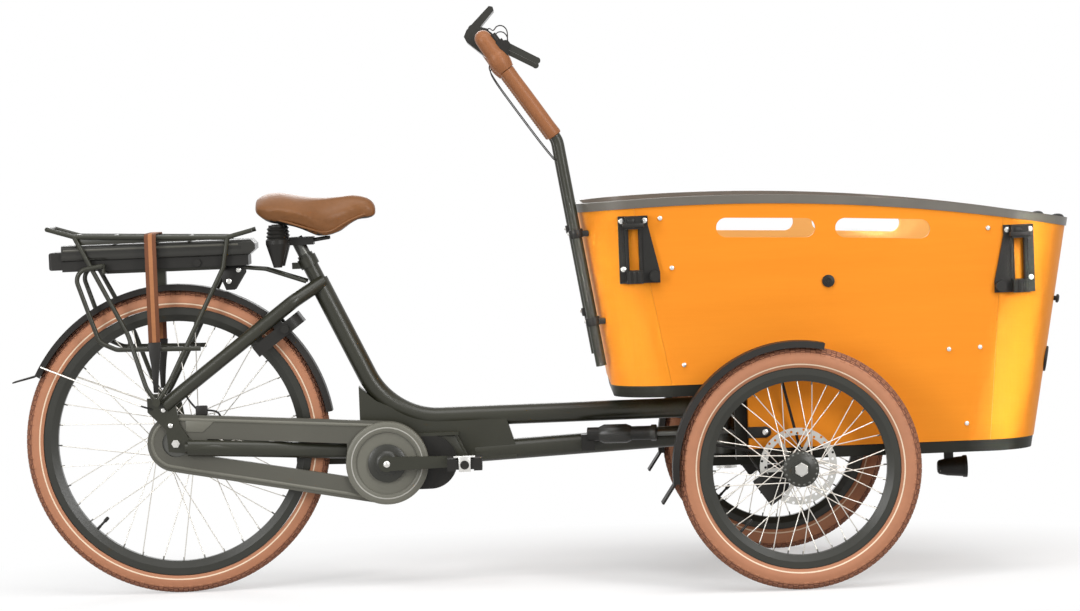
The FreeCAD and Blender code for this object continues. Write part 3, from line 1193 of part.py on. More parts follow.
def lever_bodies():
    """The lever's clamp round the grip with its master cylinder and the two cheeks that hold the pin."""
    along, out = bar_directions()
    pivot, on_bar = right_hand(lever_pivot()), right_hand(on_grip(LEVER_PLACE))
    band = rod(on_bar - along * 7, on_bar + along * 7, UPPER_GRIP_RADIUS + 5)
    shoulder = on_bar + out * (UPPER_GRIP_RADIUS + 3)
    pieces = [band, rod(shoulder + along * 10, shoulder + along * 52, 8)]
    room = LEVER_THICKNESS / 2 + 0.5
    cheek = [on_bar + out * across + along * up
             for across, up in ((14, -5), (20, -5), (32, 12), (32, 34), (14, 34))]
    for side in (-1, 1):
        inner, outer = sorted((pivot.y + side * room, pivot.y + side * (room + 5)))
        pieces.append(rod_y(pivot.x, pivot.z, inner, outer, 9))
        pieces.append(prism_y([(point.x, point.z) for point in cheek], inner, outer))
    body = joined(pieces)
    swing = rod_y(pivot.x, pivot.z, pivot.y - room, pivot.y + room, 12)
    pin = rod_y(pivot.x, pivot.z, pivot.y - room - 5, pivot.y + room + 5, LEVER_PIN_RADIUS)
    run = [on_bar - along * 60, on_bar + along * 60]
    body = joined([body.cut(swing), pin]).cut(pipe(run, UPPER_GRIP_RADIUS)).cut(grips())
    return solids(both_sides(max(body.Solids, key=lambda solid: solid.Volume)))


def brake_lever(side):
    """A flat blade from the pin, opening away from the grip, with a rounded tip."""
    pivot = lever_pivot() + Vec(0, side * BAR_HALF_WIDTH, 0)
    rest = math.radians(LEVER_REST)
    way = Vec(math.cos(rest), 0, math.sin(rest))
    up = Vec(-way.z, 0, way.x)
    tip = pivot + way * LEVER_LENGTH
    low, high = pivot.y - LEVER_THICKNESS / 2, pivot.y + LEVER_THICKNESS / 2
    outline = [(pivot + up * 7), (tip + up * 7), (tip - up * 6), (pivot - up * 7)]
    blade = prism_y([(point.x, point.z) for point in outline], low, high)
    eye = rod_y(pivot.x, pivot.z, low, high, 10)
    knob = rod_y(tip.x, tip.z + 0.4, low, high, 7)
    pin = rod_y(pivot.x, pivot.z, low, high, LEVER_PIN_RADIUS + RUNNING_CLEARANCE)
    return joined([blade, eye, knob]).cut(pin)


def brake_hoses():
    """The hose from the console down behind each grip into a port in the bar's leg."""
    low = bar_foot(BAR_KNEE_Z - 40)
    route = [Vec(BAR_TOP.x + 2, -48, BAR_TOP.z - 34), Vec(BAR_TOP.x + 2, -78, BAR_TOP.z - 66),
             Vec(BAR_TOP.x + 18, -140, BAR_TOP.z - 100), Vec(BAR_TOP.x + 58, -198, BAR_TOP.z - 160),
             Vec(low.x - 40, 12 - BAR_HALF_WIDTH, low.z + 60),
             Vec(low.x - BAR_RADIUS + 1, -BAR_HALF_WIDTH, low.z)]
    hose = pipe(route, HOSE_RADIUS, HOSE_BEND).cut(console()).cut(pipe(bar_path(), BAR_RADIUS, BAR_BEND))
    return solids(both_sides(max(hose.Solids, key=lambda solid: solid.Volume)))


# Saddle

def post_head():
    """The middle of the saddle's clamp, above the top of the seat tube."""
    return on_seat_tube(SEAT_TUBE_TOP + SADDLE_HEAD_RISE)


def saddle_cover():
    """The padded top: a crowned form with skirts that hang lowest where the thighs pass."""
    head = post_head()
    wires = []
    for ahead, low, high, half in SADDLE_STATIONS:
        x, foot, crown = head.x + ahead, head.z + low, head.z + high
        shoulder = foot + (crown - foot) * 0.45
        left, right = Vec(x, half, shoulder), Vec(x, -half, shoulder)
        foot_left, foot_right = Vec(x, half * 0.86, foot), Vec(x, -half * 0.86, foot)
        edges = [Part.LineSegment(foot_left, left).toShape(),
                 Part.Arc(left, Vec(x, 0, crown), right).toShape(),
                 Part.LineSegment(right, foot_right).toShape(),
                 Part.LineSegment(foot_right, foot_left).toShape()]
        wires.append(Part.Wire(edges))
    return Part.makeLoft(wires, True, False)


def saddle_springs():
    """A ribbed boot over each spring, tapering to its lower cup."""
    head = post_head()
    axis = Vec(head.x - SPRING_BACK, -SPRING_Y, head.z)
    ribs = [(radius, 12 + SPRING_RIB * index) for index, radius in enumerate((20, 23, 19, 22, 18, 21, 17))]
    top = ribs[-1][1] + SPRING_RIB
    outline = [(0, -SPRING_DROP), (9, -SPRING_DROP), (24, 0), (24, 8)] + ribs + [(17, top), (0, top)]
    corners = [axis + Vec(radius, 0, height) for radius, height in outline]
    boot = Part.Face(Part.makePolygon(corners + corners[:1])).revolve(axis, Vec(0, 0, 1), 360)
    return solids(both_sides(boot.cut(saddle_cover())))


def saddle_frame():
    """The clamp on the post's head and the two rails from the nose back to the springs."""
    head = post_head()
    clamp = block(head.x - 18, head.x + 34, -30, 30, head.z - SADDLE_CLAMP_DROP, head.z + SADDLE_CLAMP_TOP)
    rails = []
    for side in (-1, 1):
        run = [Vec(6 - SPRING_BACK, side * (SPRING_Y - 12), 4), Vec(-8, side * 22, 2),
               Vec(30, side * 22, 4), Vec(68, side * 20, 9)]
        rails.append(pipe([head + place for place in run], SADDLE_RAIL_RADIUS, 20))
    post = rod(on_seat_tube(SEAT_TUBE_TOP - 40), head + SEAT_AXIS * (SADDLE_CLAMP_TOP + 3), SEAT_POST_RADIUS)
    return joined([clamp] + rails).cut(post).cut(saddle_cover()).cut(saddle_springs())


def seat_post():
    foot = on_seat_tube(SEAT_TUBE_TOP) - SEAT_AXIS * SEAT_POST_INSERTION
    return rod(foot, post_head() + SEAT_AXIS * POST_PAST_HEAD, SEAT_POST_RADIUS)


# Carrier and battery

def deck_z(x):
    """The carrier rails' height, which falls towards the front."""
    share = (x - CARRIER_REAR_X) / (CARRIER_FRONT_X - CARRIER_REAR_X)
    return BATTERY_BOTTOM + CARRIER_REAR_RISE + (CARRIER_FRONT_RISE - CARRIER_REAR_RISE) * share


def carrier_side():
    """The bars of the carrier's right side: rail, two legs to the dropout's pin, pannier hoop and strut."""
    y, hoop_y = -CARRIER_HALF_WIDTH, -CARRIER_HALF_WIDTH - HOOP_OUT
    eye = Vec(CARRIER_EYE_X, -CARRIER_FOOT_Y - CARRIER_ROD - 0.5, REAR_AXLE.z + CARRIER_EYE_RISE)
    top, low = BATTERY_BOTTOM, REAR_AXLE.z
    rear, front = CARRIER_REAR_X, CARRIER_FRONT_X
    rail = [Vec(rear - 57, y, top + 71), Vec(rear, y, deck_z(rear)), Vec(front, y, deck_z(front)),
            Vec(front + 56, y, top + 53)]
    rear_leg = [Vec(rear, y, deck_z(rear)), Vec(-93, y - 6, low + 237), Vec(-56, eye.y, low + 121), eye]
    front_leg = [Vec(front + 3, y, deck_z(front)), Vec(front - 9, y, KEEL_Z), Vec(-4, y - 14, low + 139),
                 Vec(-20, eye.y, low + 111), eye]
    hoop = [Vec(-140, hoop_y, top - 11), Vec(-204, hoop_y, top - 21), Vec(-154, hoop_y, low + 223),
            Vec(-118, hoop_y, low + 206), Vec(62, hoop_y, low + 202)]
    bars = [pipe(rail, CARRIER_ROD, 25), pipe(rear_leg, CARRIER_ROD, 60), pipe(front_leg, CARRIER_ROD, 40),
            pipe(hoop, CARRIER_ROD, 25)]
    for start, end in ((Vec(-140, hoop_y, top - 11), Vec(-140, y + 7, top - 11)),
                       (Vec(-90, hoop_y, low + 206), Vec(-90, y - 2, low + 231)),
                       (Vec(30, hoop_y, low + 202), Vec(30, y - 3, low + 207)),
                       (Vec(-140, y - 4, KEEL_Z), Vec(-140, y - 4, top - 11))):
        bars.append(rod(start, end, CARRIER_THIN_ROD))
    bars.append(rod_y(eye.x, eye.z, eye.y - CARRIER_ROD - 1.5, -CARRIER_FOOT_Y, CARRIER_ROD + 3.7))
    strut = [Vec(front + 15, -12, KEEL_Z), Vec(205, -24, top - 33), stay_shoulder(-1) + Vec(30, 12, 42)]
    bars.append(pipe(strut, CARRIER_THIN_ROD, 40).cut(seat_stay(-1)))
    return [max(bar.Solids, key=lambda solid: solid.Volume) for bar in bars]


def rear_carrier():
    """Round bar welded into a deck and its two sides, with a keel under the battery and its post."""
    y, rear, front = CARRIER_HALF_WIDTH, CARRIER_REAR_X, CARRIER_FRONT_X
    bars = carrier_side()
    cross = []
    for index in range(5):
        x = rear + (front - rear) * index / 4
        cross.append(rod_y(x, deck_z(x), -y, y, CARRIER_THIN_ROD))
    cross += [rod_y(rear - 57, BATTERY_BOTTOM + 71, -y, y, CARRIER_ROD),
              rod_y(-140, KEEL_Z, -y - 4, y + 4, CARRIER_THIN_ROD),
              rod_y(front - 9, KEEL_Z, -y, y, CARRIER_THIN_ROD),
              block(-150, front + 31, -16, 16, KEEL_Z - 4, KEEL_Z + 4)]
    guard = rod_y(0, REAR_AXLE.z, -50, 50, REAR_TYRE_RADIUS + MUDGUARD_GAP)
    cross.append(block(-32, -12, -12, 12, REAR_AXLE.z + REAR_TYRE_RADIUS, KEEL_Z).cut(guard))
    return joined(bars + cross + [mirrored(bar) for bar in bars])


def battery_dock():
    """The tray that the battery slides into, with its lock on the right."""
    half = BATTERY_HALF_WIDTH
    low = BATTERY_BOTTOM - DOCK_HEIGHT
    rail = block(BATTERY_REAR, BATTERY_FRONT - 16, 8 - half, half - 8, low, BATTERY_BOTTOM)
    return joined([rail, rod_y(60, low + 9, 2 - half, 12 - half, 8)])


def battery_pack():
    """A long case with a rounded nose that slides into the dock from behind."""
    half, z = BATTERY_HALF_WIDTH, BATTERY_BOTTOM
    side = [(BATTERY_REAR, z), (BATTERY_FRONT - 14, z), (BATTERY_FRONT, z + BATTERY_HEIGHT * 0.35),
            (BATTERY_FRONT, z + BATTERY_HEIGHT * 0.7), (BATTERY_FRONT - 10, z + BATTERY_HEIGHT),
            (BATTERY_REAR, z + BATTERY_HEIGHT)]
    body = prism_y(side, -half, half)
    long_edges = [edge for edge in body.Edges if edge.Length > 200]
    body = body.makeFillet(BATTERY_FILLET, long_edges)
    groove = block(BATTERY_REAR, BATTERY_FRONT - 30, half - 3, half + 3, z + 14, z + 19)
    return body.cut(both_sides(groove))


def tail_lamp():
    low = BATTERY_BOTTOM - DOCK_HEIGHT + 4
    back = BATTERY_REAR - TAIL_LAMP_DEPTH
    body = block(back, BATTERY_REAR, -45, 45, low, low + 38)
    rear_edges = [edge for edge in body.Edges if edge.BoundBox.XMax < back + 1]
    return body.makeFillet(6, rear_edges)


def carrier_straps():
    """An elastic strap over the deck, down each side to a hook at the legs' foot."""
    y = CARRIER_HALF_WIDTH + CARRIER_ROD + 12
    x, half = CARRIER_EYE_X, STRAP_WIDTH / 2
    top = deck_z(x - half) + CARRIER_ROD + 0.1
    low = REAR_AXLE.z + CARRIER_EYE_RISE + 20
    band = [block(x - half, x + half, -y, y, top, top + STRAP_THICKNESS)]
    for side in (-1, 1):
        inner, outer = sorted((side * y, side * (y + STRAP_THICKNESS)))
        band.append(block(x - half, x + half, inner, outer, low + 105, top + STRAP_THICKNESS))
        hook = [(x - 14, low + 105), (x + 14, low + 105), (x + 9, low + 60), (x + 4, low), (x - 6, low),
                (x - 9, low + 60)]
        band.append(prism_y(hook, *sorted((side * y, side * (y + STRAP_THICKNESS + 3)))))
    return joined(band)


def ring_lock():
    """The horseshoe lock round the rear wheel, hung below the seat stays."""
    half, thick = LOCK_HALF, LOCK_THICKNESS
    body = Part.makeBox(LOCK_LENGTH, 2 * half, thick, Vec(-LOCK_MOUTH, -half, -thick / 2))
    mouth = Part.makeBox(LOCK_MOUTH, 2 * LOCK_MOUTH_HALF, thick,
                         Vec(-LOCK_MOUTH, -LOCK_MOUTH_HALF, -thick / 2))
    case = body.cut(mouth)
    back = LOCK_LENGTH - LOCK_MOUTH
    upright = [edge for edge in case.Edges if abs(edge.Length - thick) < 0.01]
    case = case.makeFillet(28, [edge for edge in upright if edge.BoundBox.XMin > back - 1])
    barrel = Part.makeCylinder(9, 10, Vec(back - 42, -half, 0), Vec(0, -1, 0))
    lugs = [Part.makeBox(22, 12, 24, Vec(-34, side * (half - 10) - 6, thick / 2)) for side in (-1, 1)]
    case = case.fuse([barrel] + lugs).removeSplitter()
    case.rotate(Vec(0, 0, 0), Vec(0, -1, 0), LOCK_LEAN)
    case.translate(on_circle(REAR_AXLE, REAR_TYRE_RADIUS + LOCK_CLEARANCE, LOCK_PLACE_ANGLE))
    return max(case.cut([seat_stay(-1), seat_stay(1)]).Solids, key=lambda solid: solid.Volume)


# Assembly

def build():
    """Every sub-part by the name of its file."""
    parts = {
        "main_frame": main_frame(), "motor_housing": motor_housing(),
        "chain_case": chain_case(), "chain": chain(), "seat_clamp": seat_clamp(), "rear_axle": rear_axle(),
        "rear_mudguard": rear_mudguard(), "rear_carrier": rear_carrier(),
        "battery_dock": battery_dock(), "battery_pack": battery_pack(), "tail_lamp": tail_lamp(),
        "carrier_straps": carrier_straps(), "ring_lock": ring_lock(),
        "damper_cylinder": damper_cylinder(), "damper_rod": damper_rod(),
        "rear_sprocket": toothed_wheel(0, REAR_AXLE.z, -CHAIN_LINE, SPROCKET_TEETH, SPROCKET_RADIUS,
                                       REAR_AXLE_RADIUS + RUNNING_CLEARANCE),
        "crank_set": crank_set(), "chainring": chainring(),
        "pedal_right": pedal(-1), "pedal_left": pedal(1),
        "seat_post": seat_post(), "saddle_cover": saddle_cover(), "saddle_frame": saddle_frame(),
        "saddle_springs": saddle_springs(),
        "front_frame": front_frame(), "kingpin": kingpin(),
        "front_calipers": front_calipers(), "front_mudguards": front_mudguards(),
        "box_rim": box_rim(), "box_floor": box_floor(), "benches": benches(),
        "tent_brackets": tent_brackets(),
        "box_screws": box_screws(), "front_fittings": front_fittings(),
        "bar_clamps": bar_clamps(), "handlebar": handlebar(), "grips": grips(), "console": console(),
        "lever_bodies": lever_bodies(), "brake_hoses": brake_hoses(),
        "brake_lever_right": brake_lever(-1), "brake_lever_left": brake_lever(1),
    }
    parts.update(box_walls())
    for name, shape in rear_wheel().items():
        parts["rear_" + name] = shape
    for side, word in ((-1, "right"), (1, "left")):
        for name, shape in front_wheel(side).items():
            parts["front_" + name + "_" + word] = shape
    return parts


def overall_middle():
    """Halfway between the tail of the rear flap and the front edge of the box's trim."""
    tail = on_circle(REAR_AXLE, REAR_TYRE_RADIUS + MUDGUARD_GAP, REAR_MUDGUARD_TO).x - FLAP_LENGTH
    front_top = ARCH_Z
    for _ in range(20):
        front = BOX_FRONT_X + BOX_FRONT_SLOPE * (front_top - BOX_LEVEL_LOW) + RIM_TRIM
        front_top = ARCH_Z + RIM_TRIM + 1 - (front - ARCH_X) ** 2 / (2 * ARCH_RADIUS)
    return (tail + front) / 2


ORIGIN = Vec(overall_middle(), 0, 0)


def save(parts):
    os.makedirs("parts", exist_ok=True)
    for name, shape in sorted(parts.items()):
        shape.translate(ORIGIN * -1)
        count = len(shape.Solids)
        print(f"{name}: {count} solids, {shape.Volume / 1000:.1f} cm3, valid {shape.isValid()}")
        shape.exportStep(os.path.join("parts", name + ".step"))


if __name__ == "__main__":
    save(build())
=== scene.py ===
"""Looks of the cargo tricycle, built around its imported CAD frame. Metres, +X forward, +Z up."""

import bmesh
import bpy
import json
from math import acos, atan2, copysign, cos, degrees, hypot, pi, radians, sin
from mathutils import Matrix, Vector

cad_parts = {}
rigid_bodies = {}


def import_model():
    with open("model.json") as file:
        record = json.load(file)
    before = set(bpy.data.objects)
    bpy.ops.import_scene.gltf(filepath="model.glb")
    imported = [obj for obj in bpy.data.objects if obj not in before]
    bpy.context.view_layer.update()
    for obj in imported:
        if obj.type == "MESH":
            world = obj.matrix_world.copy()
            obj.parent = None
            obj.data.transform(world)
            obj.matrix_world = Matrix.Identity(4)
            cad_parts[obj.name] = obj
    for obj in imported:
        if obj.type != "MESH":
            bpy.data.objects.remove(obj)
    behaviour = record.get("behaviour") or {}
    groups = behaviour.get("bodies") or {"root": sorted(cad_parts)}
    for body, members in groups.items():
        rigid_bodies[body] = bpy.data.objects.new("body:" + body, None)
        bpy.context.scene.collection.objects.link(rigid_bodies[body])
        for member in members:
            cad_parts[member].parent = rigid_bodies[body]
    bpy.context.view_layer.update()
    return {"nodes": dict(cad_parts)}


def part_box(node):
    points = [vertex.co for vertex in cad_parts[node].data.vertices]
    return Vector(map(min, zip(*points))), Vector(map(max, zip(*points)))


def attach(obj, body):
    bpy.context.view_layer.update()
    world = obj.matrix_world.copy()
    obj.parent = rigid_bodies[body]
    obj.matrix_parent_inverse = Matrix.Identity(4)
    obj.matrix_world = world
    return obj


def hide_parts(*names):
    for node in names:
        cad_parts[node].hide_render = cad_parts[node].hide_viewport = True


for leftover in list(bpy.data.objects):
    bpy.data.objects.remove(leftover)
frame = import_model()
NODES = frame["nodes"]

RIGHT, LEFT = -1, 1
BOTH = (RIGHT, LEFT)
SIDES = ((RIGHT, "right"), (LEFT, "left"))
UP = Vector((0, 0, 1))
AHEAD = Vector((1, 0, 0))
OUT_LEFT = Vector((0, 1, 0))
OUT_RIGHT = Vector((0, -1, 0))


def middle(node):
    low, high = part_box(node)
    return (low + high) / 2


REAR_AXLE = middle("rear_rim")
FRONT_AXLES = {word: middle("front_rim_" + word) for side, word in SIDES}
CRANK = middle("chainring")
BOX_MIDDLE = middle("box_floor")


def at(x, y, z):
    """A place in millimetres: forward of the rear axle, left of the middle, up from the ground."""
    return Vector((REAR_AXLE.x + x / 1000, y / 1000, z / 1000))


# Camera, fitted to the wheels in the photograph

IMAGE_WIDTH = 1080
SENSOR_WIDTH = 36.0
FOCAL_PIXELS = 3703.485
CAMERA_PLACE = at(748.8, -8003.7, 944.5)
CAMERA_YAW, CAMERA_PITCH, CAMERA_ROLL = 0.0054658, 0.0441460, -0.0396022


def stand(name, data, place, turn):
    """Puts a camera or a lamp at a place."""
    thing = bpy.data.objects.new(name, data)
    thing.matrix_world = Matrix.Translation(place) @ turn
    bpy.context.collection.objects.link(thing)
    return thing


def place_camera():
    data = bpy.data.cameras.new("camera")
    data.sensor_width = SENSOR_WIDTH
    data.lens = FOCAL_PIXELS / IMAGE_WIDTH * SENSOR_WIDTH
    heading = Matrix.Rotation(-CAMERA_YAW, 4, "Z")
    down = Matrix.Rotation(pi / 2 - CAMERA_PITCH, 4, "X")
    turn = heading @ down @ Matrix.Rotation(CAMERA_ROLL, 4, "Z")
    bpy.context.scene.camera = stand("camera", data, CAMERA_PLACE, turn)


# Finishes

def math_node(operation):
    """A method that feeds a wire and another value to a math node."""
    def work_out(self, other=0.0):
        return self.finish.node("Math", {0: self, 1: other}, operation=operation)
    return work_out


class Wire:
    """A node's output that Python arithmetic can use."""

    def __init__(self, finish, socket):
        self.finish = finish
        self.socket = socket

    def __rsub__(self, other):
        return self.finish.node("Math", {0: other, 1: self}, operation="SUBTRACT")

    __add__ = __radd__ = math_node("ADD")
    __sub__ = math_node("SUBTRACT")
    __mul__ = __rmul__ = math_node("MULTIPLY")
    __truediv__ = math_node("DIVIDE")
    above = math_node("GREATER_THAN")
    below = math_node("LESS_THAN")
    most = math_node("MAXIMUM")
    size = math_node("ABSOLUTE")
    wave = math_node("SINE")


class Finish:
    """A material or a world being wired up, on the piece's own coordinates."""

    def __init__(self, owner):
        owner.use_nodes = True
        self.owner = owner
        self.tree = owner.node_tree
        self.tree.nodes.clear()

    def node(self, kind, sockets=None, out=0, **settings):
        made = self.tree.nodes.new("ShaderNode" + kind)
        for name, value in settings.items():
            setattr(made, name, value)
        for key, value in (sockets or {}).items():
            if isinstance(value, Wire):
                self.tree.links.new(value.socket, made.inputs[key])
            else:
                made.inputs[key].default_value = value
        return Wire(self, made.outputs[out])

    def place(self):
        return self.node("TexCoord", out="Object")

    def axes(self):
        split = self.node("SeparateXYZ", {0: self.place()})
        return [Wire(self, output) for output in split.socket.node.outputs]

    def noise(self, scale, stretch=(1, 1, 1), detail=3.0, rough=0.5):
        spot = self.node("Mapping", {"Vector": self.place(), "Scale": stretch})
        return self.node("TexNoise",
                         {"Vector": spot, "Scale": scale, "Detail": detail, "Roughness": rough})

    def cells(self, scale):
        return self.node("TexVoronoi", {"Vector": self.place(), "Scale": scale})

    def mix(self, share, first, second):
        first, second = [c if isinstance(c, Wire) else (*c, 1) for c in (first, second)]
        return self.node("Mix", {0: share, 6: first, 7: second}, 2, data_type="RGBA")

    def bump(self, height, distance, strength):
        values = {"Height": height, "Distance": distance, "Strength": strength}
        return self.node("Bump", values, "Normal")

    def in_view(self):
        """One for what the camera sees straight, in a gloss or through glass."""
        rays = ("Is Camera Ray", "Is Glossy Ray", "Is Transmission Ray")
        straight, gloss, glass = [self.node("LightPath", out=ray) for ray in rays]
        return straight.most(gloss).most(glass)

    def surface(self, colour, rough, normal, **constants):
        values = {"Base Color": colour, "Roughness": rough, "Normal": normal}
        values.update({name.replace("_", " "): value for name, value in constants.items()})
        return self.close(self.node("BsdfPrincipled", values))

    def close(self, shader, kind="OutputMaterial"):
        """Ends the wiring in a shader and gives back what was wired up."""
        end = self.tree.nodes.new("ShaderNode" + kind)
        self.tree.links.new(shader.socket, end.inputs["Surface"])
        return self.owner


def blank(name):
    return Finish(bpy.data.materials.new(name))


def shade(colour, factor):
    return tuple(part * factor for part in colour)


def about(level, texture, swing):
    """A level that a texture moves up and down by half a swing."""
    return level + texture * swing - swing / 2


def powder_coat(name, colour, rough=0.5, fleck=0.25, shine=0.4):
    """Sprayed paint: a fine orange peel and a cloudy tone."""
    f = blank(name)
    cloud = f.noise(9, detail=4)
    peel = f.noise(900, detail=1)
    tone = f.mix(cloud, shade(colour, 1 - fleck), shade(colour, 1 + fleck))
    return f.surface(tone, about(rough, cloud, 0.12), f.bump(peel, 0.0003, 0.15),
                     Specular_IOR_Level=shine)


def moulded_plastic(name, colour, rough=0.45, texture=1400, shine=0.4):
    """Spark-eroded plastic: fine even grain with a soft cloudy sheen."""
    f = blank(name)
    grain = f.noise(texture, detail=2)
    cloud = f.noise(14, detail=2)
    tone = f.mix(cloud, shade(colour, 0.8), shade(colour, 1.25))
    return f.surface(tone, about(rough, grain, 0.16), f.bump(grain, 0.0004, 0.2),
                     Specular_IOR_Level=shine)


def metal(name, colour, rough):
    """Bare metal with fine scratches and a cloudy tone."""
    f = blank(name)
    lines = f.noise(500, detail=2)
    cloud = f.noise(30, detail=3)
    tone = f.mix(cloud * 0.6 + lines * 0.4, shade(colour, 0.78), shade(colour, 1.12))
    return f.surface(tone, about(rough, lines, 0.14), f.bump(lines, 0.0002, 0.2), Metallic=1.0)


def plywood(name, grain_along, lift=1.0, painted_paleness=0.0):
    """Amber varnished plywood with the face grain along one axis and its layers on cut edges. A large
    lift and a painted paleness make it paler, as painted light on the box's inner faces.
    """
    f = blank(name)

    def varnish(red, green, blue):
        return red, green * lift, blue + painted_paleness

    long_way = {"x": (0.06, 1, 1), "z": (1, 1, 0.06)}[grain_along]
    broad = f.noise(26, long_way, detail=4, rough=0.6)
    fine = f.noise(230, long_way, detail=3, rough=0.6)
    cloud = f.noise(2.2, detail=2)
    face = f.mix(broad, varnish(0.80, 0.236, 0.018), varnish(0.90, 0.300, 0.028))
    face = f.mix(fine * 0.35, face, varnish(0.72, 0.190, 0.013))
    face = f.mix(cloud * 0.4, face, varnish(0.93, 0.330, 0.033))
    normal = f.node("NewGeometry", out="Normal")
    upward = f.node("SeparateXYZ", {0: normal}, "Z").size()
    layer_rate, through = 3900, f.axes()[1].size() - 0.3
    layers = (through * layer_rate).wave().above(0.25)
    layer_tone = f.mix(layers, (0.80, 0.40, 0.11), (0.42, 0.16, 0.035))
    face = f.mix(upward.above(0.75), face, layer_tone)
    return f.surface(face, 0.40 + fine * 0.14, f.bump(fine * 0.7 + broad * 0.3, 0.0005, 0.25),
                     Specular_IOR_Level=0.25, Specular_Tint=(1.0, 0.62, 0.16, 1))


def leather(name, colour, wear=0.35, pebble=420, relief=0.35):
    """Leather with fine creases, darker in the pores and rubbed lighter in patches."""
    f = blank(name)
    pores = f.cells(pebble)
    creases = f.noise(120, detail=5, rough=0.65)
    patches = f.noise(11, detail=3)
    tone = f.mix(patches, shade(colour, 0.82), shade(colour, 1 + wear))
    tone = f.mix(creases * 0.5, tone, shade(colour, 0.6))
    tone = f.mix((1 - pores) * 0.12, tone, shade(colour, 0.4))
    return f.surface(tone, 0.38 + creases * 0.14, f.bump(pores * 0.6 + creases * 0.4, 0.0006, relief),
                     Coat_Weight=0.08, Coat_Roughness=0.25, Specular_IOR_Level=0.25)


def tyre_rubber(name, colour):
    """Rubber with a fine mould grain and faint scuffs."""
    f = blank(name)
    scuffs = f.noise(45, detail=5, rough=0.65)
    grain = f.noise(800, detail=2)
    tone = f.mix(scuffs, shade(colour, 0.86), shade(colour, 1.12))
    tone = f.mix(grain * 0.3, tone, shade(colour, 0.8))
    return f.surface(tone, 0.62 + scuffs * 0.12, f.bump(grain, 0.0004, 0.4))


def woven_band(name, colour, line=None, highlight_x=0.0):
    """Woven elastic with ribs across it, threads between them and perhaps a lighter line along it, which
    is a painted highlight.
    """
    f = blank(name)
    x, y, z = f.axes()
    rib_rate, thread_rate, highlight_half = 2400, 3800, 0.0042
    ribs = ((z + y) * rib_rate).wave() * 0.5 + 0.5
    threads = (x * thread_rate).wave() * 0.5 + 0.5
    weave = ribs * 0.6 + threads * 0.4
    on_highlight_line = (x - highlight_x).size().below(highlight_half)
    low, high = [f.mix(on_highlight_line, shade(colour, k), shade(line or colour, k)) for k in (0.66, 1.15)]
    tone = f.mix(weave, low, high)
    tone = f.mix(f.noise(60, detail=4) * 0.3, tone, shade(colour, 0.75))
    return f.surface(tone, 0.7 + weave * 0.12, f.bump(weave, 0.0006, 0.5))


def lens(name, colour):
    """Moulded lens with ribs behind its smooth face."""
    f = blank(name)
    y, z = f.axes()[1:]
    prism_rate = 1600
    prisms = (y * prism_rate).wave() * (z * prism_rate).wave() * 0.5 + 0.5
    tone = f.mix(prisms, shade(colour, 0.55), shade(colour, 1.3))
    return f.surface(tone, 0.08 + prisms * 0.06, f.bump(prisms, 0.0004, 0.3),
                     Coat_Weight=1.0, Coat_Roughness=0.03)


FRAME_PAINT = powder_coat("frame_paint", (0.027, 0.027, 0.017), 0.33)
TRAY_PAINT = powder_coat("tray_paint", (0.018, 0.018, 0.014), 0.46, shine=0.15)
CASE_PAINT = powder_coat("case_paint", (0.088, 0.085, 0.068), 0.42, 0.12)
# A lighter grey for the case's boss, also used on the case's ridge and raised panel as a painted
# highlight.
BOSS_AND_HIGHLIGHT_PAINT = powder_coat("boss_paint_and_painted_highlight", (0.150, 0.146, 0.118), 0.40, 0.12)
# Light grey for a thin raised ring on the case boss: a painted highlight on its chamfer.
HIGHLIGHT_RING_PAINT = powder_coat("ring_painted_highlight", (0.42, 0.41, 0.37), 0.30, 0.10)
SIDE_PLY = plywood("side_plywood", "x")
BENT_PLY = plywood("bent_plywood", "z", 1.06)
# Paler, yellower plywood for the box's inner faces: painted light from above, not a different varnish.
INNER_PLY_PAINTED_LIGHT = plywood("inner_plywood_painted_light", "x", 1.7, 0.12)
BLACK_PLASTIC = moulded_plastic("black_plastic", (0.017, 0.016, 0.014), 0.40, shine=0.25)
GUARD_PLASTIC = moulded_plastic("guard_plastic", (0.022, 0.020, 0.018), 0.46, shine=0.12)
TRIM_PLASTIC = moulded_plastic("trim_plastic", (0.125, 0.114, 0.096), 0.36)
CASE_PLASTIC = moulded_plastic("case_plastic", (0.024, 0.023, 0.019), 0.24, 2600)
SCREEN_GLASS = moulded_plastic("screen_glass", (0.006, 0.007, 0.009), 0.10, 3000)
TYRE_TAN = tyre_rubber("tyre_tan", (0.46, 0.195, 0.100))
# A darker rubber for the floor between the tread blocks: painted shade in the grooves.
TYRE_GROOVE_SHADE = tyre_rubber("tyre_groove_painted_shade", (0.20, 0.075, 0.040))
TYRE_LINE = tyre_rubber("tyre_line", (0.86, 0.68, 0.50))
RIM_BLACK = powder_coat("rim_black", (0.026, 0.026, 0.020), 0.34)
SPOKE_STEEL = metal("spoke_steel", (0.72, 0.69, 0.63), 0.30)
BARE_STEEL = metal("bare_steel", (0.70, 0.69, 0.66), 0.28)
ROTOR_STEEL = metal("rotor_steel", (0.55, 0.54, 0.51), 0.34)
DARK_STEEL = metal("dark_steel", (0.12, 0.12, 0.11), 0.38)
SADDLE_LEATHER = leather("saddle_leather", (0.215, 0.088, 0.028))
GRIP_LEATHER = leather("grip_leather", (0.345, 0.132, 0.050), 0.15, 1600, 0.1)
STITCH_THREAD = woven_band("stitch_thread", (0.55, 0.34, 0.17))
# The lighter line along the strap's middle is a painted highlight on a rib.
STRAP_BAND = woven_band("strap_band", (0.16, 0.050, 0.016), (0.50, 0.20, 0.075),
                        middle("carrier_straps").x)
RED_LENS = lens("red_lens", (0.36, 0.006, 0.006))
CLEAR_LENS = lens("clear_lens", (0.62, 0.64, 0.66))

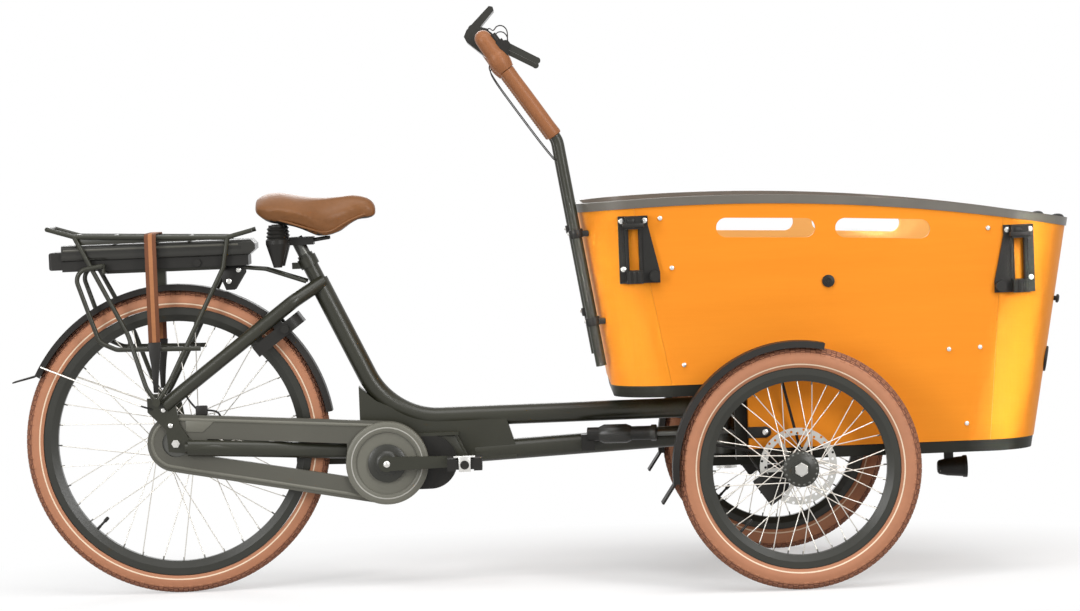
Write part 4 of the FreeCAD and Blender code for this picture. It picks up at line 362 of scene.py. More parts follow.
NODE_FINISHES = {
    "main_frame handlebar rear_carrier crank_set seat_clamp": FRAME_PAINT,
    "front_frame": TRAY_PAINT,
    "chain_case": CASE_PAINT,
    "motor_housing battery_dock pedal_right pedal_left tent_brackets bar_clamps saddle_frame "
    "saddle_springs front_calipers ring_lock damper_cylinder lever_bodies brake_hoses "
    "front_fittings tail_lamp": BLACK_PLASTIC,
    "rear_mudguard front_mudguards": GUARD_PLASTIC,
    "box_side_right box_side_left box_floor benches": SIDE_PLY,
    "box_rear_panel box_front_panel": BENT_PLY,
    "box_rim": TRIM_PLASTIC,
    "battery_pack console": CASE_PLASTIC,
    "rear_rim front_rim_right front_rim_left rear_hub front_hub_right front_hub_left "
    "brake_lever_right brake_lever_left": RIM_BLACK,
    "seat_post chain rear_sprocket damper_rod": DARK_STEEL,
    "rear_spokes front_spokes_right front_spokes_left": SPOKE_STEEL,
    "rear_axle kingpin chainring": BARE_STEEL,
}

# Where a CAD node changes its finish

STAY_REACH, SOCKET_REACH = 0.325, 0.125
BOSS_FROM_Y, BOSS_REACH = -0.068, 0.090
STUB_BARE_FROM, STUB_RADIUS = 0.430, 0.0126
LEVER_PLACE, BAND_HALF, BAND_RADIUS = 0.785, 0.0075, 0.0225
INWARD = 0.3


def finish_nodes():
    for names, material in NODE_FINISHES.items():
        for name in names.split():
            mesh = NODES[name].data
            mesh.materials.clear()
            mesh.materials.append(material)
    for reach, material in ((STAY_REACH, SPOKE_STEEL), (SOCKET_REACH, BLACK_PLASTIC)):
        repaint("rear_mudguard", material, lambda face: from_axle(face, REAR_AXLE) < reach)
    repaint("chain_case", BOSS_AND_HIGHLIGHT_PAINT, is_boss)
    repaint("front_frame", ROTOR_STEEL, is_stub_end)
    repaint("lever_bodies", GRIP_LEATHER, is_lever_band)
    # The box's inner faces are painted paler: painted light from above falling into the box.
    for node in ("box_side_right", "box_side_left", "box_rear_panel", "box_front_panel"):
        repaint(node, INNER_PLY_PAINTED_LIGHT, is_inside)


def repaint(node, material, chosen):
    """Gives the chosen faces of a CAD node another finish."""
    mesh = NODES[node].data
    mesh.materials.append(material)
    for face in mesh.polygons:
        if chosen(face):
            face.material_index = len(mesh.materials) - 1


def from_axle(face, axle):
    return hypot(face.center.x - axle.x, face.center.z - axle.z)


def is_boss(face):
    return face.center.y < BOSS_FROM_Y and from_axle(face, CRANK) < BOSS_REACH


def is_stub_end(face):
    return abs(face.center.y) > STUB_BARE_FROM and from_axle(face, FRONT_AXLES["right"]) < STUB_RADIUS


def is_lever_band(face):
    """The lever's clamp round the grip, wrapped in the same leather."""
    reach = face.center - on_bar(LEVER_PLACE, copysign(1, face.center.y))
    along = reach.dot(ALONG_BAR)
    return abs(along) < BAND_HALF and (reach - ALONG_BAR * along).length < BAND_RADIUS


def is_inside(face):
    """A face that looks into the box, where the varnish is painted paler as painted light falling in
    from above.
    """
    inward = (BOX_MIDDLE - face.center) * Vector((1, 1, 0))
    return face.normal.dot(inward.normalized()) > INWARD


# Modelling by hand

def rest():
    """Leaves edit mode with nothing selected."""
    if bpy.context.mode != "OBJECT":
        bpy.ops.object.mode_set(mode="OBJECT")
    bpy.ops.object.select_all(action="DESELECT")


def select(piece):
    rest()
    bpy.context.view_layer.objects.active = piece
    piece.select_set(True)


PRIMITIVES = {"circle": bpy.ops.mesh.primitive_circle_add, "cube": bpy.ops.mesh.primitive_cube_add,
              "cylinder": bpy.ops.mesh.primitive_cylinder_add, "plane": bpy.ops.mesh.primitive_plane_add}


def begin(name, kind, **how):
    """Adds one primitive on its own and puts its place into its mesh."""
    rest()
    PRIMITIVES[kind](**how)
    piece = bpy.context.object
    piece.name = name
    bpy.ops.object.transform_apply(location=True, rotation=True, scale=True)
    return piece


def pick(piece, kind, chosen=None):
    """Opens a piece in edit mode with only the chosen points, edges or faces selected, or all."""
    select(piece)
    bpy.ops.object.mode_set(mode="EDIT")
    bpy.ops.mesh.select_mode(type=kind)
    bpy.ops.mesh.select_all(action="DESELECT")
    form = bmesh.from_edit_mesh(piece.data)
    for item in {"VERT": form.verts, "EDGE": form.edges, "FACE": form.faces}[kind]:
        if chosen is None or chosen(item):
            item.select_set(True)
    form.select_flush_mode()
    bmesh.update_edit_mesh(piece.data)


def is_top(face):
    return face.normal.z > 0.9


def tidy(piece):
    """Merges doubles, drops loose points and turns the faces outwards."""
    pick(piece, "VERT")
    bpy.ops.mesh.remove_doubles(threshold=1e-6)
    bpy.ops.mesh.delete_loose()
    bpy.ops.mesh.select_all(action="SELECT")
    bpy.ops.mesh.normals_make_consistent(inside=False)
    rest()
    return piece


def apply(piece, kind, **settings):
    """Adds a modifier to a piece and applies it."""
    select(piece)
    modifier = piece.modifiers.new(kind.lower(), kind)
    for name, value in settings.items():
        setattr(modifier, name, value)
    bpy.ops.object.modifier_apply(modifier=modifier.name)
    return piece


def rounded(piece, width, segments=2, angle=40):
    return apply(piece, "BEVEL", width=width, segments=segments, limit_method="ANGLE",
                 angle_limit=radians(angle))


def facing(place, way):
    """Turns a model that stands along +Z to face a way, at a place."""
    return Matrix.Translation(place) @ UP.rotation_difference(Vector(way)).to_matrix().to_4x4()


def lathe(name, outline, place, way, steps=48):
    """A closed outline of (distance from the axis, height along it) in millimetres, spun round."""
    piece = begin(name, "circle", vertices=len(outline), fill_type="NOTHING")
    for point, (reach, height) in zip(piece.data.vertices, outline):
        point.co = (reach / 1000, 0, height / 1000)
    pick(piece, "VERT")
    bpy.ops.mesh.spin(steps=steps, angle=2 * pi, center=(0, 0, 0), axis=(0, 0, 1))
    tidy(piece)
    piece.data.transform(facing(place, way))
    return piece


def copies(name, model, places):
    """One piece with a copy of the model at each place."""
    made = []
    for place in places:
        twin = model.copy()
        twin.data = model.data.copy()
        twin.data.transform(place)
        bpy.context.collection.objects.link(twin)
        made.append(twin)
    bpy.data.objects.remove(model)
    return joined(name, made)


def joined(name, pieces):
    select(pieces[0])
    for piece in pieces:
        piece.select_set(True)
    if len(pieces) > 1:
        bpy.ops.object.join()
    pieces[0].name = name
    return pieces[0]


def wire(name, points, radius, sides=6, swell=None):
    """A round bar or cable along a smooth line, thicker where swell says."""
    data = bpy.data.curves.new(name, "CURVE")
    data.dimensions = "3D"
    data.bevel_depth = radius
    data.bevel_resolution = sides // 2
    data.use_fill_caps = True
    data.resolution_u = 10
    spline = data.splines.new("NURBS")
    spline.points.add(len(points) - 1)
    for point, place, share in zip(spline.points, points, swell or [1] * len(points)):
        point.co = (*place, 1)
        point.radius = share
    spline.order_u = 3
    spline.use_endpoint_u = True
    piece = bpy.data.objects.new(name, data)
    bpy.context.collection.objects.link(piece)
    select(piece)
    bpy.ops.object.convert(target="MESH")
    return tidy(bpy.context.object)


def plate(name, outline, y, thickness, edge=0.8):
    """A flat plate through (x, z) places, standing lengthways at y, all in millimetres."""
    piece = begin(name, "circle", vertices=len(outline), fill_type="NGON")
    for point, (x, z) in zip(piece.data.vertices, outline):
        point.co = at(x, y, z)
    tidy(piece)
    apply(piece, "SOLIDIFY", thickness=thickness / 1000, offset=0.0)
    return rounded(piece, edge / 1000)


def twin_plates(outline, y, thickness, edge=0.8):
    """The same plate on the right and on the left."""
    return [plate("twin", outline, side * y, thickness, edge) for side in BOTH]


def bar(name, place, size, edge=1.0):
    """A bar with rounded edges: its middle, then its length, width and height in millimetres."""
    piece = begin(name, "cube", size=1, location=place, scale=[part / 1000 for part in size])
    return rounded(piece, edge / 1000)


def touch(node, start, way):
    """Where a straight line first meets a CAD node and how the surface faces, if it does."""
    met, place, normal = NODES[node].ray_cast(start, Vector(way))[:3]
    return (place, normal) if met else None


def paint_faces(piece, chosen, index):
    """Gives the chosen faces the piece's material at an index."""
    pick(piece, "FACE", chosen)
    piece.active_material_index = index
    bpy.ops.object.material_slot_assign()
    rest()


def hand_over(piece, material, body, angle=35):
    """Shades, paints and hangs a finished piece on its body."""
    select(piece)
    bpy.ops.object.shade_smooth_by_angle(angle=radians(angle))
    rest()
    if material:
        piece.data.materials.clear()
        piece.data.materials.append(material)
    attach(piece, body)
    return piece


def moulded(name, parts, body):
    """Joins parts into one black plastic piece on a body."""
    return hand_over(joined(name, parts), BLACK_PLASTIC, body)


def screw_model(radius, height):
    """A dome-headed screw with a socket, along +Z at the origin, in millimetres."""
    head = begin("screw", "cylinder", vertices=18, radius=radius / 1000,
                 depth=height / 1000, location=(0, 0, height / 2000))
    pick(head, "FACE", is_top)
    for inward, rise in ((0.28, 0.22), (0.24, 0.08), (0.04, -0.5)):
        bpy.ops.mesh.inset(thickness=radius * inward / 1000, depth=height * rise / 1000)
    rest()
    return head


def screws(name, radius, height, places, body, material=BARE_STEEL):
    """Screw heads of one size, in millimetres, at all the places."""
    return hand_over(copies(name, screw_model(radius, height), places), material, body)


def nut_model(radius, height, bore):
    """A hexagon nut with a bore, along +Z at the origin, in millimetres."""
    nut = begin("nut", "cylinder", vertices=6, radius=radius / 1000,
                depth=height / 1000, location=(0, 0, height / 2000))
    rounded(nut, radius * 0.12 / 1000, 2, 20)
    pick(nut, "FACE", is_top)
    bpy.ops.mesh.inset(thickness=(radius * 0.80 - bore) / 1000, depth=0)
    bpy.ops.mesh.inset(thickness=bore * 0.12 / 1000, depth=-height * 0.3 / 1000)
    rest()
    return nut


# Tyres: angles round the section in degrees, the rest in millimetres

TREAD_ANGLES = (0, 8, 16, 24, 32, 40, 48, 57, 68, 80, 94)
ROW_STEP, MIDDLE_ROWS, GROOVE_SHADE_TO, LAST_BLOCKS = 8, 48, 57, 66
TREAD_DEPTH, BLOCK_PITCH, BLOCK_INSET = 1.6, 11, 0.9
TYRE_WALL, INSIDE_STEP = 4.0, 24
LINE_FROM_BEAD, LINE_WIDTH = 24, 7


def tyre(name, node, body, bead_angle, width):
    """A C-shaped casing with rows of small tread blocks and a pale line above the bead; the floor
    between the blocks is painted darker, as painted shade in the grooves.
    """
    low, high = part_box(node)
    centre = (low + high) / 2
    outer = (high.z - low.z) * 500
    ring = outer - width / 2
    reach = width / 2 - TREAD_DEPTH
    line = bead_angle - LINE_FROM_BEAD
    half = TREAD_ANGLES + (line, line + LINE_WIDTH, bead_angle)
    columns = int(outer * 2 * pi / BLOCK_PITCH)

    def round_section(distance, angles):
        turns = [radians(angle) for angle in angles]
        return [(ring + distance * cos(a), distance * sin(a)) for a in turns]

    outline = round_section(reach, [-angle for angle in reversed(half[1:])] + list(half))
    outline += round_section(reach - TYRE_WALL, range(bead_angle, -bead_angle - 1, -INSIDE_STEP))
    piece = lathe(name, outline, centre, OUT_LEFT, columns)

    def section(face):
        """A face's distance from the section's middle, its angle round that, and its place."""
        place = face.calc_center_median() - centre
        from_ring = hypot(place.x, place.z) * 1000 - ring
        across = place.y * 1000
        return hypot(from_ring, across), degrees(atan2(across, from_ring)), place

    def is_block(face):
        distance, angle, place = section(face)
        if distance < reach - 1 or abs(angle) > LAST_BLOCKS:
            return False
        column = round(atan2(place.z, place.x) / (2 * pi) * columns - 0.5)
        if abs(angle) > MIDDLE_ROWS:
            return column % 2 == 0
        row = int((angle + 90) // ROW_STEP)
        return (column + 2 * row) % 4 != 0

    def between(face, least, most):
        distance, angle = section(face)[:2]
        return distance > reach - 1 and least < abs(angle) < most

    for material in (TYRE_TAN, TYRE_LINE, TYRE_GROOVE_SHADE):
        piece.data.materials.append(material)
    paint_faces(piece, lambda face: between(face, line, line + LINE_WIDTH), 1)
    # The tread floor between the blocks gets the darker rubber as painted shade.
    paint_faces(piece, lambda face: between(face, -1, GROOVE_SHADE_TO), 2)
    pick(piece, "FACE", is_block)
    bpy.ops.mesh.inset(thickness=BLOCK_INSET / 1000, depth=TREAD_DEPTH / 1000, use_individual=True)
    piece.active_material_index = 0
    bpy.ops.object.material_slot_assign()
    rest()
    hand_over(piece, None, body, 50)
    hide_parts(node)


# Wheels

SPOKE_COUNT, SPOKE_STAGGER = 36, 0.003
NIPPLE_RADIUS, NIPPLE_LENGTH, NIPPLE_SINK = 0.0015, 0.006, 0.0005
VALVE_SPOKE, VALVE_SINK = 22.5, 0.001
VALVE_STEM = ((0, 0), (3.2, 0), (3.2, 9), (2.6, 10), (2.6, 22), (4.0, 23), (4.0, 33), (2.6, 35), (0, 35))
HUB_CAP = ((13, 30), (34, 30), (37, 32), (37, 35), (33, 37), (25, 38.5), (20, 40.5), (13, 40.5))
HUB_NUT_OUT = 0.0436
SPOKE_HEAD = ((0, 0), (3.0, 0), (3.0, 1.4), (1.8, 2.6), (0, 3))
HEAD_COUNT, HEADS_OUT, HEADS_REACH = 18, 0.0358, 0.0325


def spoke_way(index):
    """The way out from the axle to a spoke's place on the rim."""
    angle = 2 * pi * index / SPOKE_COUNT
    return Vector((sin(angle), 0, cos(angle)))


def wheel_fittings(word, centre, rim_inner, body):
    """Spoke nipples round the rim and one valve, on one wheel."""
    nipple = begin("nipple", "cylinder", vertices=8, radius=NIPPLE_RADIUS,
                   depth=NIPPLE_LENGTH, location=(0, 0, NIPPLE_LENGTH / 2))
    pick(nipple, "FACE", is_top)
    bpy.ops.mesh.inset(thickness=0.0005, depth=0.002)
    rest()
    places = []
    for index in range(SPOKE_COUNT):
        out = spoke_way(index)
        stagger = OUT_LEFT * (SPOKE_STAGGER if index % 2 else -SPOKE_STAGGER)
        places.append(facing(centre + out * (rim_inner + NIPPLE_SINK) + stagger, -out))
    hand_over(copies(word + "_spoke_nipples", nipple, places), DARK_STEEL, body)
    out = spoke_way(VALVE_SPOKE)
    valve = lathe(word + "_valve", VALVE_STEM, centre + out * (rim_inner + VALVE_SINK), -out, 16)
    hand_over(valve, BLACK_PLASTIC, body)


def wheels():
    tyre("rear_tyre_tread", "rear_tyre", "rear_wheel", bead_angle=124, width=50)
    wheel_fittings("rear", REAR_AXLE, rim_inner=0.260, body="rear_wheel")
    for side, word in SIDES:
        body = "front_wheel_" + word
        centre = FRONT_AXLES[word]
        tyre("front_tyre_tread_" + word, "front_tyre_" + word, body, bead_angle=137, width=52)
        wheel_fittings("front_" + word, centre, rim_inner=0.180, body=body)
        outward = OUT_LEFT * side
        hub_shell(word, centre, outward, body)
        rotor(word, centre, outward, body)
        nut = nut_model(radius=15.2, height=5, bore=12.05)
        ring = copies("hub_nut_" + word, nut, [facing(centre + outward * HUB_NUT_OUT, outward)])
        hand_over(ring, BARE_STEEL, "front_unit")


def ring_of(count, centre, reach, way):
    """Facings evenly round an axle, at a distance from it."""
    turns = (2 * pi * k / count for k in range(count))
    return [facing(centre + Vector((cos(a), 0, sin(a))) * reach, way) for a in turns]


def hub_shell(word, centre, outward, body):
    """The hub's outer cap with the heads of the spokes round its flange."""
    hand_over(lathe("hub_shell_" + word, HUB_CAP, centre, outward), RIM_BLACK, body)
    dome = lathe("head", SPOKE_HEAD, Vector(), UP, 10)
    flange = ring_of(HEAD_COUNT, centre + outward * HEADS_OUT, HEADS_REACH, outward)
    hand_over(copies("spoke_heads_" + word, dome, flange), DARK_STEEL, body)


# Brake discs

ROTOR_INSIDE = 38.0
ROTOR_RING = ((65, -0.9), (80, -0.9), (80, 0.9), (65, 0.9))
ROTOR_BOSS = ((21, -1.2), (30, -1.2), (30, 1.2), (21, 1.2))
HOLE_COUNT, HOLE_RADIUS, HOLE_REACHES = 36, 0.0029, (0.0685, 0.0725, 0.0765)
ARM_COUNT, ARM_SWEEP = 6, 0.012
ARM_MIDDLE, ARM_SIZE = (0.044, 0.006, 0), (0.040, 0.008, 0.0018)
BOLT_COUNT, BOLT_REACH, BOLT_FACE = 6, 0.0255, 1.1


def rotor(word, centre, outward, body):
    """A perforated braking ring on swept arms, bolted to the hub's inner end."""
    ring = lathe("ring", ROTOR_RING, Vector(), UP, 96)
    hole = begin("hole", "cylinder", vertices=8, radius=HOLE_RADIUS, depth=0.006)
    spots = []
    for index in range(HOLE_COUNT):
        turn = 2 * pi * index / HOLE_COUNT
        reach = HOLE_REACHES[index % len(HOLE_REACHES)]
        spots.append(Matrix.Translation((reach * cos(turn), reach * sin(turn), 0)))
    cutter = copies("holes", hole, spots)
    apply(ring, "BOOLEAN", operation="DIFFERENCE", object=cutter, solver="EXACT")
    bpy.data.objects.remove(cutter)
    arm = begin("arm", "cube", size=1, location=ARM_MIDDLE, scale=ARM_SIZE)
    pick(arm, "VERT", lambda point: point.co.x > ARM_MIDDLE[0])
    bpy.ops.transform.translate(value=(0, ARM_SWEEP, 0))
    turns = [Matrix.Rotation(2 * pi * k / ARM_COUNT, 4, "Z") for k in range(ARM_COUNT)]
    arms = copies("arms", arm, turns)
    boss = lathe("boss", ROTOR_BOSS, Vector(), UP, 48)
    disc = joined("rotor_" + word, [ring, arms, boss])
    disc.data.transform(facing(centre - outward * ROTOR_INSIDE / 1000, outward))
    hand_over(disc, ROTOR_STEEL, body)
    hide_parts("front_brake_disc_" + word)
    face = centre - outward * (ROTOR_INSIDE + BOLT_FACE) / 1000
    bolts = ring_of(BOLT_COUNT, face, BOLT_REACH, -outward)
    screws("rotor_bolts_" + word, 3.2, 2.4, bolts, body, DARK_STEEL)


# Saddle: stations ahead of the post's head, their foot above it and their half width, in millimetres

POST_HEAD = at(276.3, 0, 748)
STATIONS = ((-90, 64, 66), (-70, 54, 90), (-26, 43, 97), (24, 26, 82), (68, 12, 56), (109, 36, 38),
            (144, 49, 30), (171, 55, 18))
EDGE_LONG, EDGE_WIDE, EDGE_AHEAD, EDGE_UP = 0.93, 0.84, 3, 4.5
EDGE_RADIUS = 0.0024
PAD_RISE, CLOTH_PRESSURE, CLOTH_FRAMES = 0.004, 4.0, 20


def saddle():
    """A padded leather top, blown up by cloth pressure, with a rolled edge round its foot."""
    select(NODES["saddle_cover"])
    bpy.ops.object.duplicate()
    pad = bpy.context.object
    pad.name = "saddle_padding"
    pad.parent = None
    for key in list(pad.keys()):
        del pad[key]
    tidy(pad)
    apply(pad, "REMESH", mode="VOXEL", voxel_size=0.005)
    apply(pad, "SMOOTH", factor=0.5, iterations=5)
    apply(pad, "DISPLACE", strength=-0.0015, mid_level=0.0)
    blow_up(pad)
    apply(pad, "SMOOTH", factor=0.5, iterations=3)
    apply(pad, "SUBSURF", levels=1, render_levels=1)
    pad.data.materials.clear()
    pad.data.materials.append(SADDLE_LEATHER)
    pad.data.materials.append(BLACK_PLASTIC)
    paint_faces(pad, lambda face: face.normal.z < -0.8, 1)
    hand_over(pad, None, "seat", 60)
    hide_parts("saddle_cover")
    foot = [(ahead * EDGE_LONG + EDGE_AHEAD, half * EDGE_WIDE, low + EDGE_UP)
            for ahead, low, half in STATIONS]
    loop = foot + [(x, -y, z) for x, y, z in reversed(foot)] + foot[:1]
    points = [POST_HEAD + Vector(place) / 1000 for place in loop]
    hand_over(wire("saddle_edge", points, EDGE_RADIUS), SADDLE_LEATHER, "seat")


def blow_up(piece):
    """Runs cloth with inner pressure, keeping each point near where it began."""
    before = [point.co.copy() for point in piece.data.vertices]
    select(piece)
    cloth = piece.modifiers.new("cloth", "CLOTH")
    cloth.settings.use_pressure = True
    cloth.settings.uniform_pressure_force = CLOTH_PRESSURE
    cloth.settings.effector_weights.gravity = 0.0
    cloth.point_cache.frame_start = 1
    cloth.point_cache.frame_end = CLOTH_FRAMES
    for number in range(1, CLOTH_FRAMES + 1):
        bpy.context.scene.frame_set(number)
    bpy.ops.object.modifier_apply(modifier=cloth.name)
    bpy.context.scene.frame_set(1)
    for point, start in zip(piece.data.vertices, before):
        move = point.co - start
        if move.length > PAD_RISE:
            point.co = start + move * (PAD_RISE / move.length)


# Grips: places on the bar as shares of the way from its knee to its top

BAR_KNEE = at(842.6, 0, 947)
BAR_TOP = at(694, 0, 1165)
BAR_HALF = 0.240
ALONG_BAR = (BAR_TOP - BAR_KNEE).normalized()
BAR_SKIN = 11.2
SLEEVE_FROM, SLEEVE_TO, SLEEVE_RADIUS, SLEEVE_RINGS = 0.04, 0.688, 16.0, 8
SLEEVE_LIP, SLEEVE_WAIST, SLEEVE_BULGE = 4, 0.9, 0.7
STITCH_START, STITCH_PITCH, STITCH_SINK = 5, 6, 0.35
ELBOW_RADIUS = 0.018
ELBOW_SHARES = (0.69, 0.72, 0.76, 0.80, 0.82, 0.845, 0.90, 0.95)
ELBOW_INWARD = (0, 0.025, 0.07)
ELBOW_SWELL = (0.98, 1.12, 1.25, 1.25, 1.22, 1.075, 1.07, 1.03, 1.0, 0.95, 0.9)


def on_bar(share, side):
    return BAR_KNEE + (BAR_TOP - BAR_KNEE) * share + Vector((0, side * BAR_HALF, 0))


def sleeve_outline(length):
    """A sleeve with rolled ends, a little fuller in its middle than next to them."""
    outline = [(SLEEVE_RADIUS - 3.5, 0), (SLEEVE_RADIUS - 1.2, 1), (SLEEVE_RADIUS, SLEEVE_LIP)]
    for index in range(1, SLEEVE_RINGS):
        share = index / SLEEVE_RINGS
        bulge = SLEEVE_BULGE * sin(pi * share)
        height = SLEEVE_LIP + (length - 2 * SLEEVE_LIP) * share
        outline.append((SLEEVE_RADIUS - SLEEVE_WAIST + bulge, height))
    outline += [(SLEEVE_RADIUS, length - SLEEVE_LIP), (SLEEVE_RADIUS, length - 1.5)]
    return outline + [(SLEEVE_RADIUS - 1.2, length), (BAR_SKIN, length), (BAR_SKIN, 0)]


def grips():
    """Leather sleeves with a row of stitches, and a cover round each top corner."""
    sleeves, stitches = [], []
    back = Vector((-ALONG_BAR.z, 0, ALONG_BAR.x)) * (SLEEVE_RADIUS - STITCH_SINK) / 1000
    for side in BOTH:
        start, end = on_bar(SLEEVE_FROM, side), on_bar(SLEEVE_TO, side)
        length = (end - start).length * 1000
        sleeves.append(lathe("sleeve", sleeve_outline(length), start, ALONG_BAR, 32))
        for index in range(int(length / STITCH_PITCH)):
            along = ALONG_BAR * (STITCH_START + index * STITCH_PITCH) / 1000
            stitches.append(facing(start + along + back, ALONG_BAR))
        run = [on_bar(share, side) for share in ELBOW_SHARES]
        run += [on_bar(1, side) - OUT_LEFT * side * inward for inward in ELBOW_INWARD]
        sleeves.append(wire("elbow", run, ELBOW_RADIUS, sides=16, swell=ELBOW_SWELL))
    wrap = hand_over(joined("grip_leather_wrap", sleeves), GRIP_LEATHER, "handlebar")
    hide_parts("grips")
    stitch = begin("stitch", "cube", size=1, scale=(0.0012, 0.0014, 0.0036))
    rounded(stitch, 0.0004, 1)
    hand_over(copies("grip_stitches", stitch, stitches), STITCH_THREAD, "handlebar")


# Strap over the carrier

STRAP_HALF, STRAP_THICK = 0.0125, 0.0028
STRAP_IN_SIDE, STRAP_IN_TOP = 0.0045, 0.0016
STRAP_FOOT_Z, STRAP_SHIN_Z = 0.548, 0.66
STRAP_CORNER = ((0, 0.012), (0.004, 0.003), (0.014, 0))
HOOK = ((-50, 548), (-22, 548), (-24, 520), (-27, 500), (-30, 470), (-32, 440), (-42, 440), (-43, 470),
        (-45, 500), (-48, 520))


def strap():
    """A woven band over the deck and down both sides to moulded hooks."""
    low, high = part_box("carrier_straps")
    x = (low.x + high.x) / 2
    out, top = high.y - STRAP_IN_SIDE, high.z - STRAP_IN_TOP
    rise = [(out, STRAP_FOOT_Z), (out, STRAP_SHIN_Z)]
    rise += [(out - inward, top - below) for inward, below in STRAP_CORNER]
    route = [Vector((x, RIGHT * y, z)) for y, z in rise] + [Vector((x, 0, top))]
    route += [Vector((x, LEFT * y, z)) for y, z in reversed(rise)]
    band = begin("strap_band", "plane", size=1)
    pick(band, "VERT", lambda point: point.co.y > 0)
    bpy.ops.mesh.delete(type="VERT")
    rest()
    for point in band.data.vertices:
        point.co = route[0] + Vector((copysign(STRAP_HALF, point.co.x), 0, 0))
    near = STRAP_HALF * 1.01
    for before, after in zip(route, route[1:]):
        pick(band, "EDGE", lambda edge: all((point.co - before).length < near for point in edge.verts))
        bpy.ops.mesh.extrude_region_move(TRANSFORM_OT_translate={"value": after - before})
    rest()
    tidy(band)
    apply(band, "SOLIDIFY", thickness=STRAP_THICK, offset=0.0)
    rounded(band, 0.0007, 2)
    hand_over(band, STRAP_BAND, "rear_frame")
    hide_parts("carrier_straps")
    moulded("strap_hooks", twin_plates(HOOK, out * 1000, 6, 1.4), "rear_frame")


# Screws and pole holders on the box: places ahead of the rear axle and up, in millimetres

BOX_HALF = 310
BOX_SCREWS = ((1047, 776), (1068, 672), (1086, 469), (1638, 480), (1703, 482), (1670, 324), (1728, 729))
ANCHOR_PLACE = (1392, 632)
BRACKETS = ((990, 713), (1790, 664))
BRACKET_SCREWS = (((-24, 60), (24, 60), (-23, -40)), ((-24, 60), (24, 60), (23, -40)))
PLATE_OUT = 8
# Rounds on a bracket: places along it, levels, distance out and radius; blocks: along, out, up and size
BRACKET_ROUNDS = (((-14.5, 14.5), (-44, 0, 44), 8, 0.0044), ((-11, 0, 11), (-68, -57, -45), 35, 0.0052))
BRACKET_BLOCKS = ((0, 37, 51, (44, 9, 10)), (-5, 36, 60, (16, 8, 12)))
BLOCK_EDGE = 2.5


def both_sides(places, y):
    """A facing for each (x, z) on the right and on the left, y millimetres out."""
    return [facing(at(x, side * y, z), (0, side, 0)) for x, z in places for side in BOTH]


def box_hardware():
    heads = screws("box_screw_heads", 4.5, 3.0, both_sides(BOX_SCREWS, BOX_HALF), "front_unit")
    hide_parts("box_screws")
    anchors = both_sides([ANCHOR_PLACE], BOX_HALF)
    screws("anchor_bolts", 13.0, 4.0, anchors, "front_unit", BLACK_PLASTIC)
    places = []
    for (x, z), offsets in zip(BRACKETS, BRACKET_SCREWS):
        places += [(x + ahead, z + up) for ahead, up in offsets]
    screws("bracket_screws", 5.6, 3.0, both_sides(places, BOX_HALF + PLATE_OUT), "front_unit")
    ribs = []
    for side in BOTH:
        for x, z in BRACKETS:
            for places, levels, out, radius in BRACKET_ROUNDS:
                for ahead in places:
                    run = [at(x + ahead, side * (BOX_HALF + out), z + up) for up in levels]
                    ribs.append(wire("rib", run, radius))
            for ahead, out, up, size in BRACKET_BLOCKS:
                place = at(x + ahead, side * (BOX_HALF + out), z + up)
                ribs.append(bar("block", place, size, BLOCK_EDGE))
    moulded("bracket_ribs", ribs, "front_unit")


# Chain case and crank

CRANK_END = 0.105
CRANK_CAP = ((0, 0), (7, 0), (7, 1.2), (5, 2.4), (2.5, 3), (0, 3.1))
CRANK_COVER = ((10, -2), (39, -2), (41, 0), (41, 3), (36, 5), (27, 6), (24, 9), (19, 11.5), (10, 11.5))
CASE_RING = ((67, -2.5), (68.5, 0.6), (71, 1.6), (84, 1.6), (87, 0.4), (88.5, -2.5))
PAINTED_HIGHLIGHT_RING = ((74.5, 1.2), (75.2, 2.2), (77.2, 2.2), (77.9, 1.2))
CASE_FACE_Y = -66
REAR_REACH, FRONT_REACH, CASE_STEPS = 52, 79, 12
RIDGE_RADIUS, RIDGE_SINK = 0.0045, 2.2
CASE_PANEL, PANEL_RISE = ((22, 379), (84, 374), (58, 350), (22, 353)), 0.5
JOINT_PLACE, JOINT_SIZE = at(57, -58, 397), (26, 13, 21)
LEAD_RADIUS = 0.0022
LEADS = (((46, -58, 401), (34, -59, 414), (24, -60, 432), (24, -60, 440)),
         ((68, -58, 397), (84, -58, 396), (96, -58, 388), (98, -58, 378)))


def drive_fittings():
    """The raised rings on the case, the cover behind the crank arm and the bolt caps. The thin raised
    ring is painted light grey as a painted highlight on the boss's chamfer.
    """
    centre = Vector((CRANK.x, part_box("chain_case")[0].y, CRANK.z))
    ring = lathe("case_ring", CASE_RING, centre, OUT_RIGHT, 96)
    hand_over(ring, BOSS_AND_HIGHLIGHT_PAINT, "rear_frame")
    # The thin ring's light grey paint is a painted highlight on the chamfer, not the ring's own colour.
    bright = lathe("case_ring_painted_highlight", PAINTED_HIGHLIGHT_RING, centre, OUT_RIGHT, 96)
    hand_over(bright, HIGHLIGHT_RING_PAINT, "rear_frame")
    cover = lathe("crank_cover", CRANK_COVER, centre, OUT_RIGHT, 64)
    hand_over(cover, RIM_BLACK, "crank")
    caps = []
    for side in BOTH:
        face = Vector((CRANK.x, side * CRANK_END, CRANK.z))
        caps.append(lathe("cap", CRANK_CAP, face, (0, side, 0), 24))
    hand_over(joined("crank_bolt_caps", caps), BARE_STEEL, "crank")


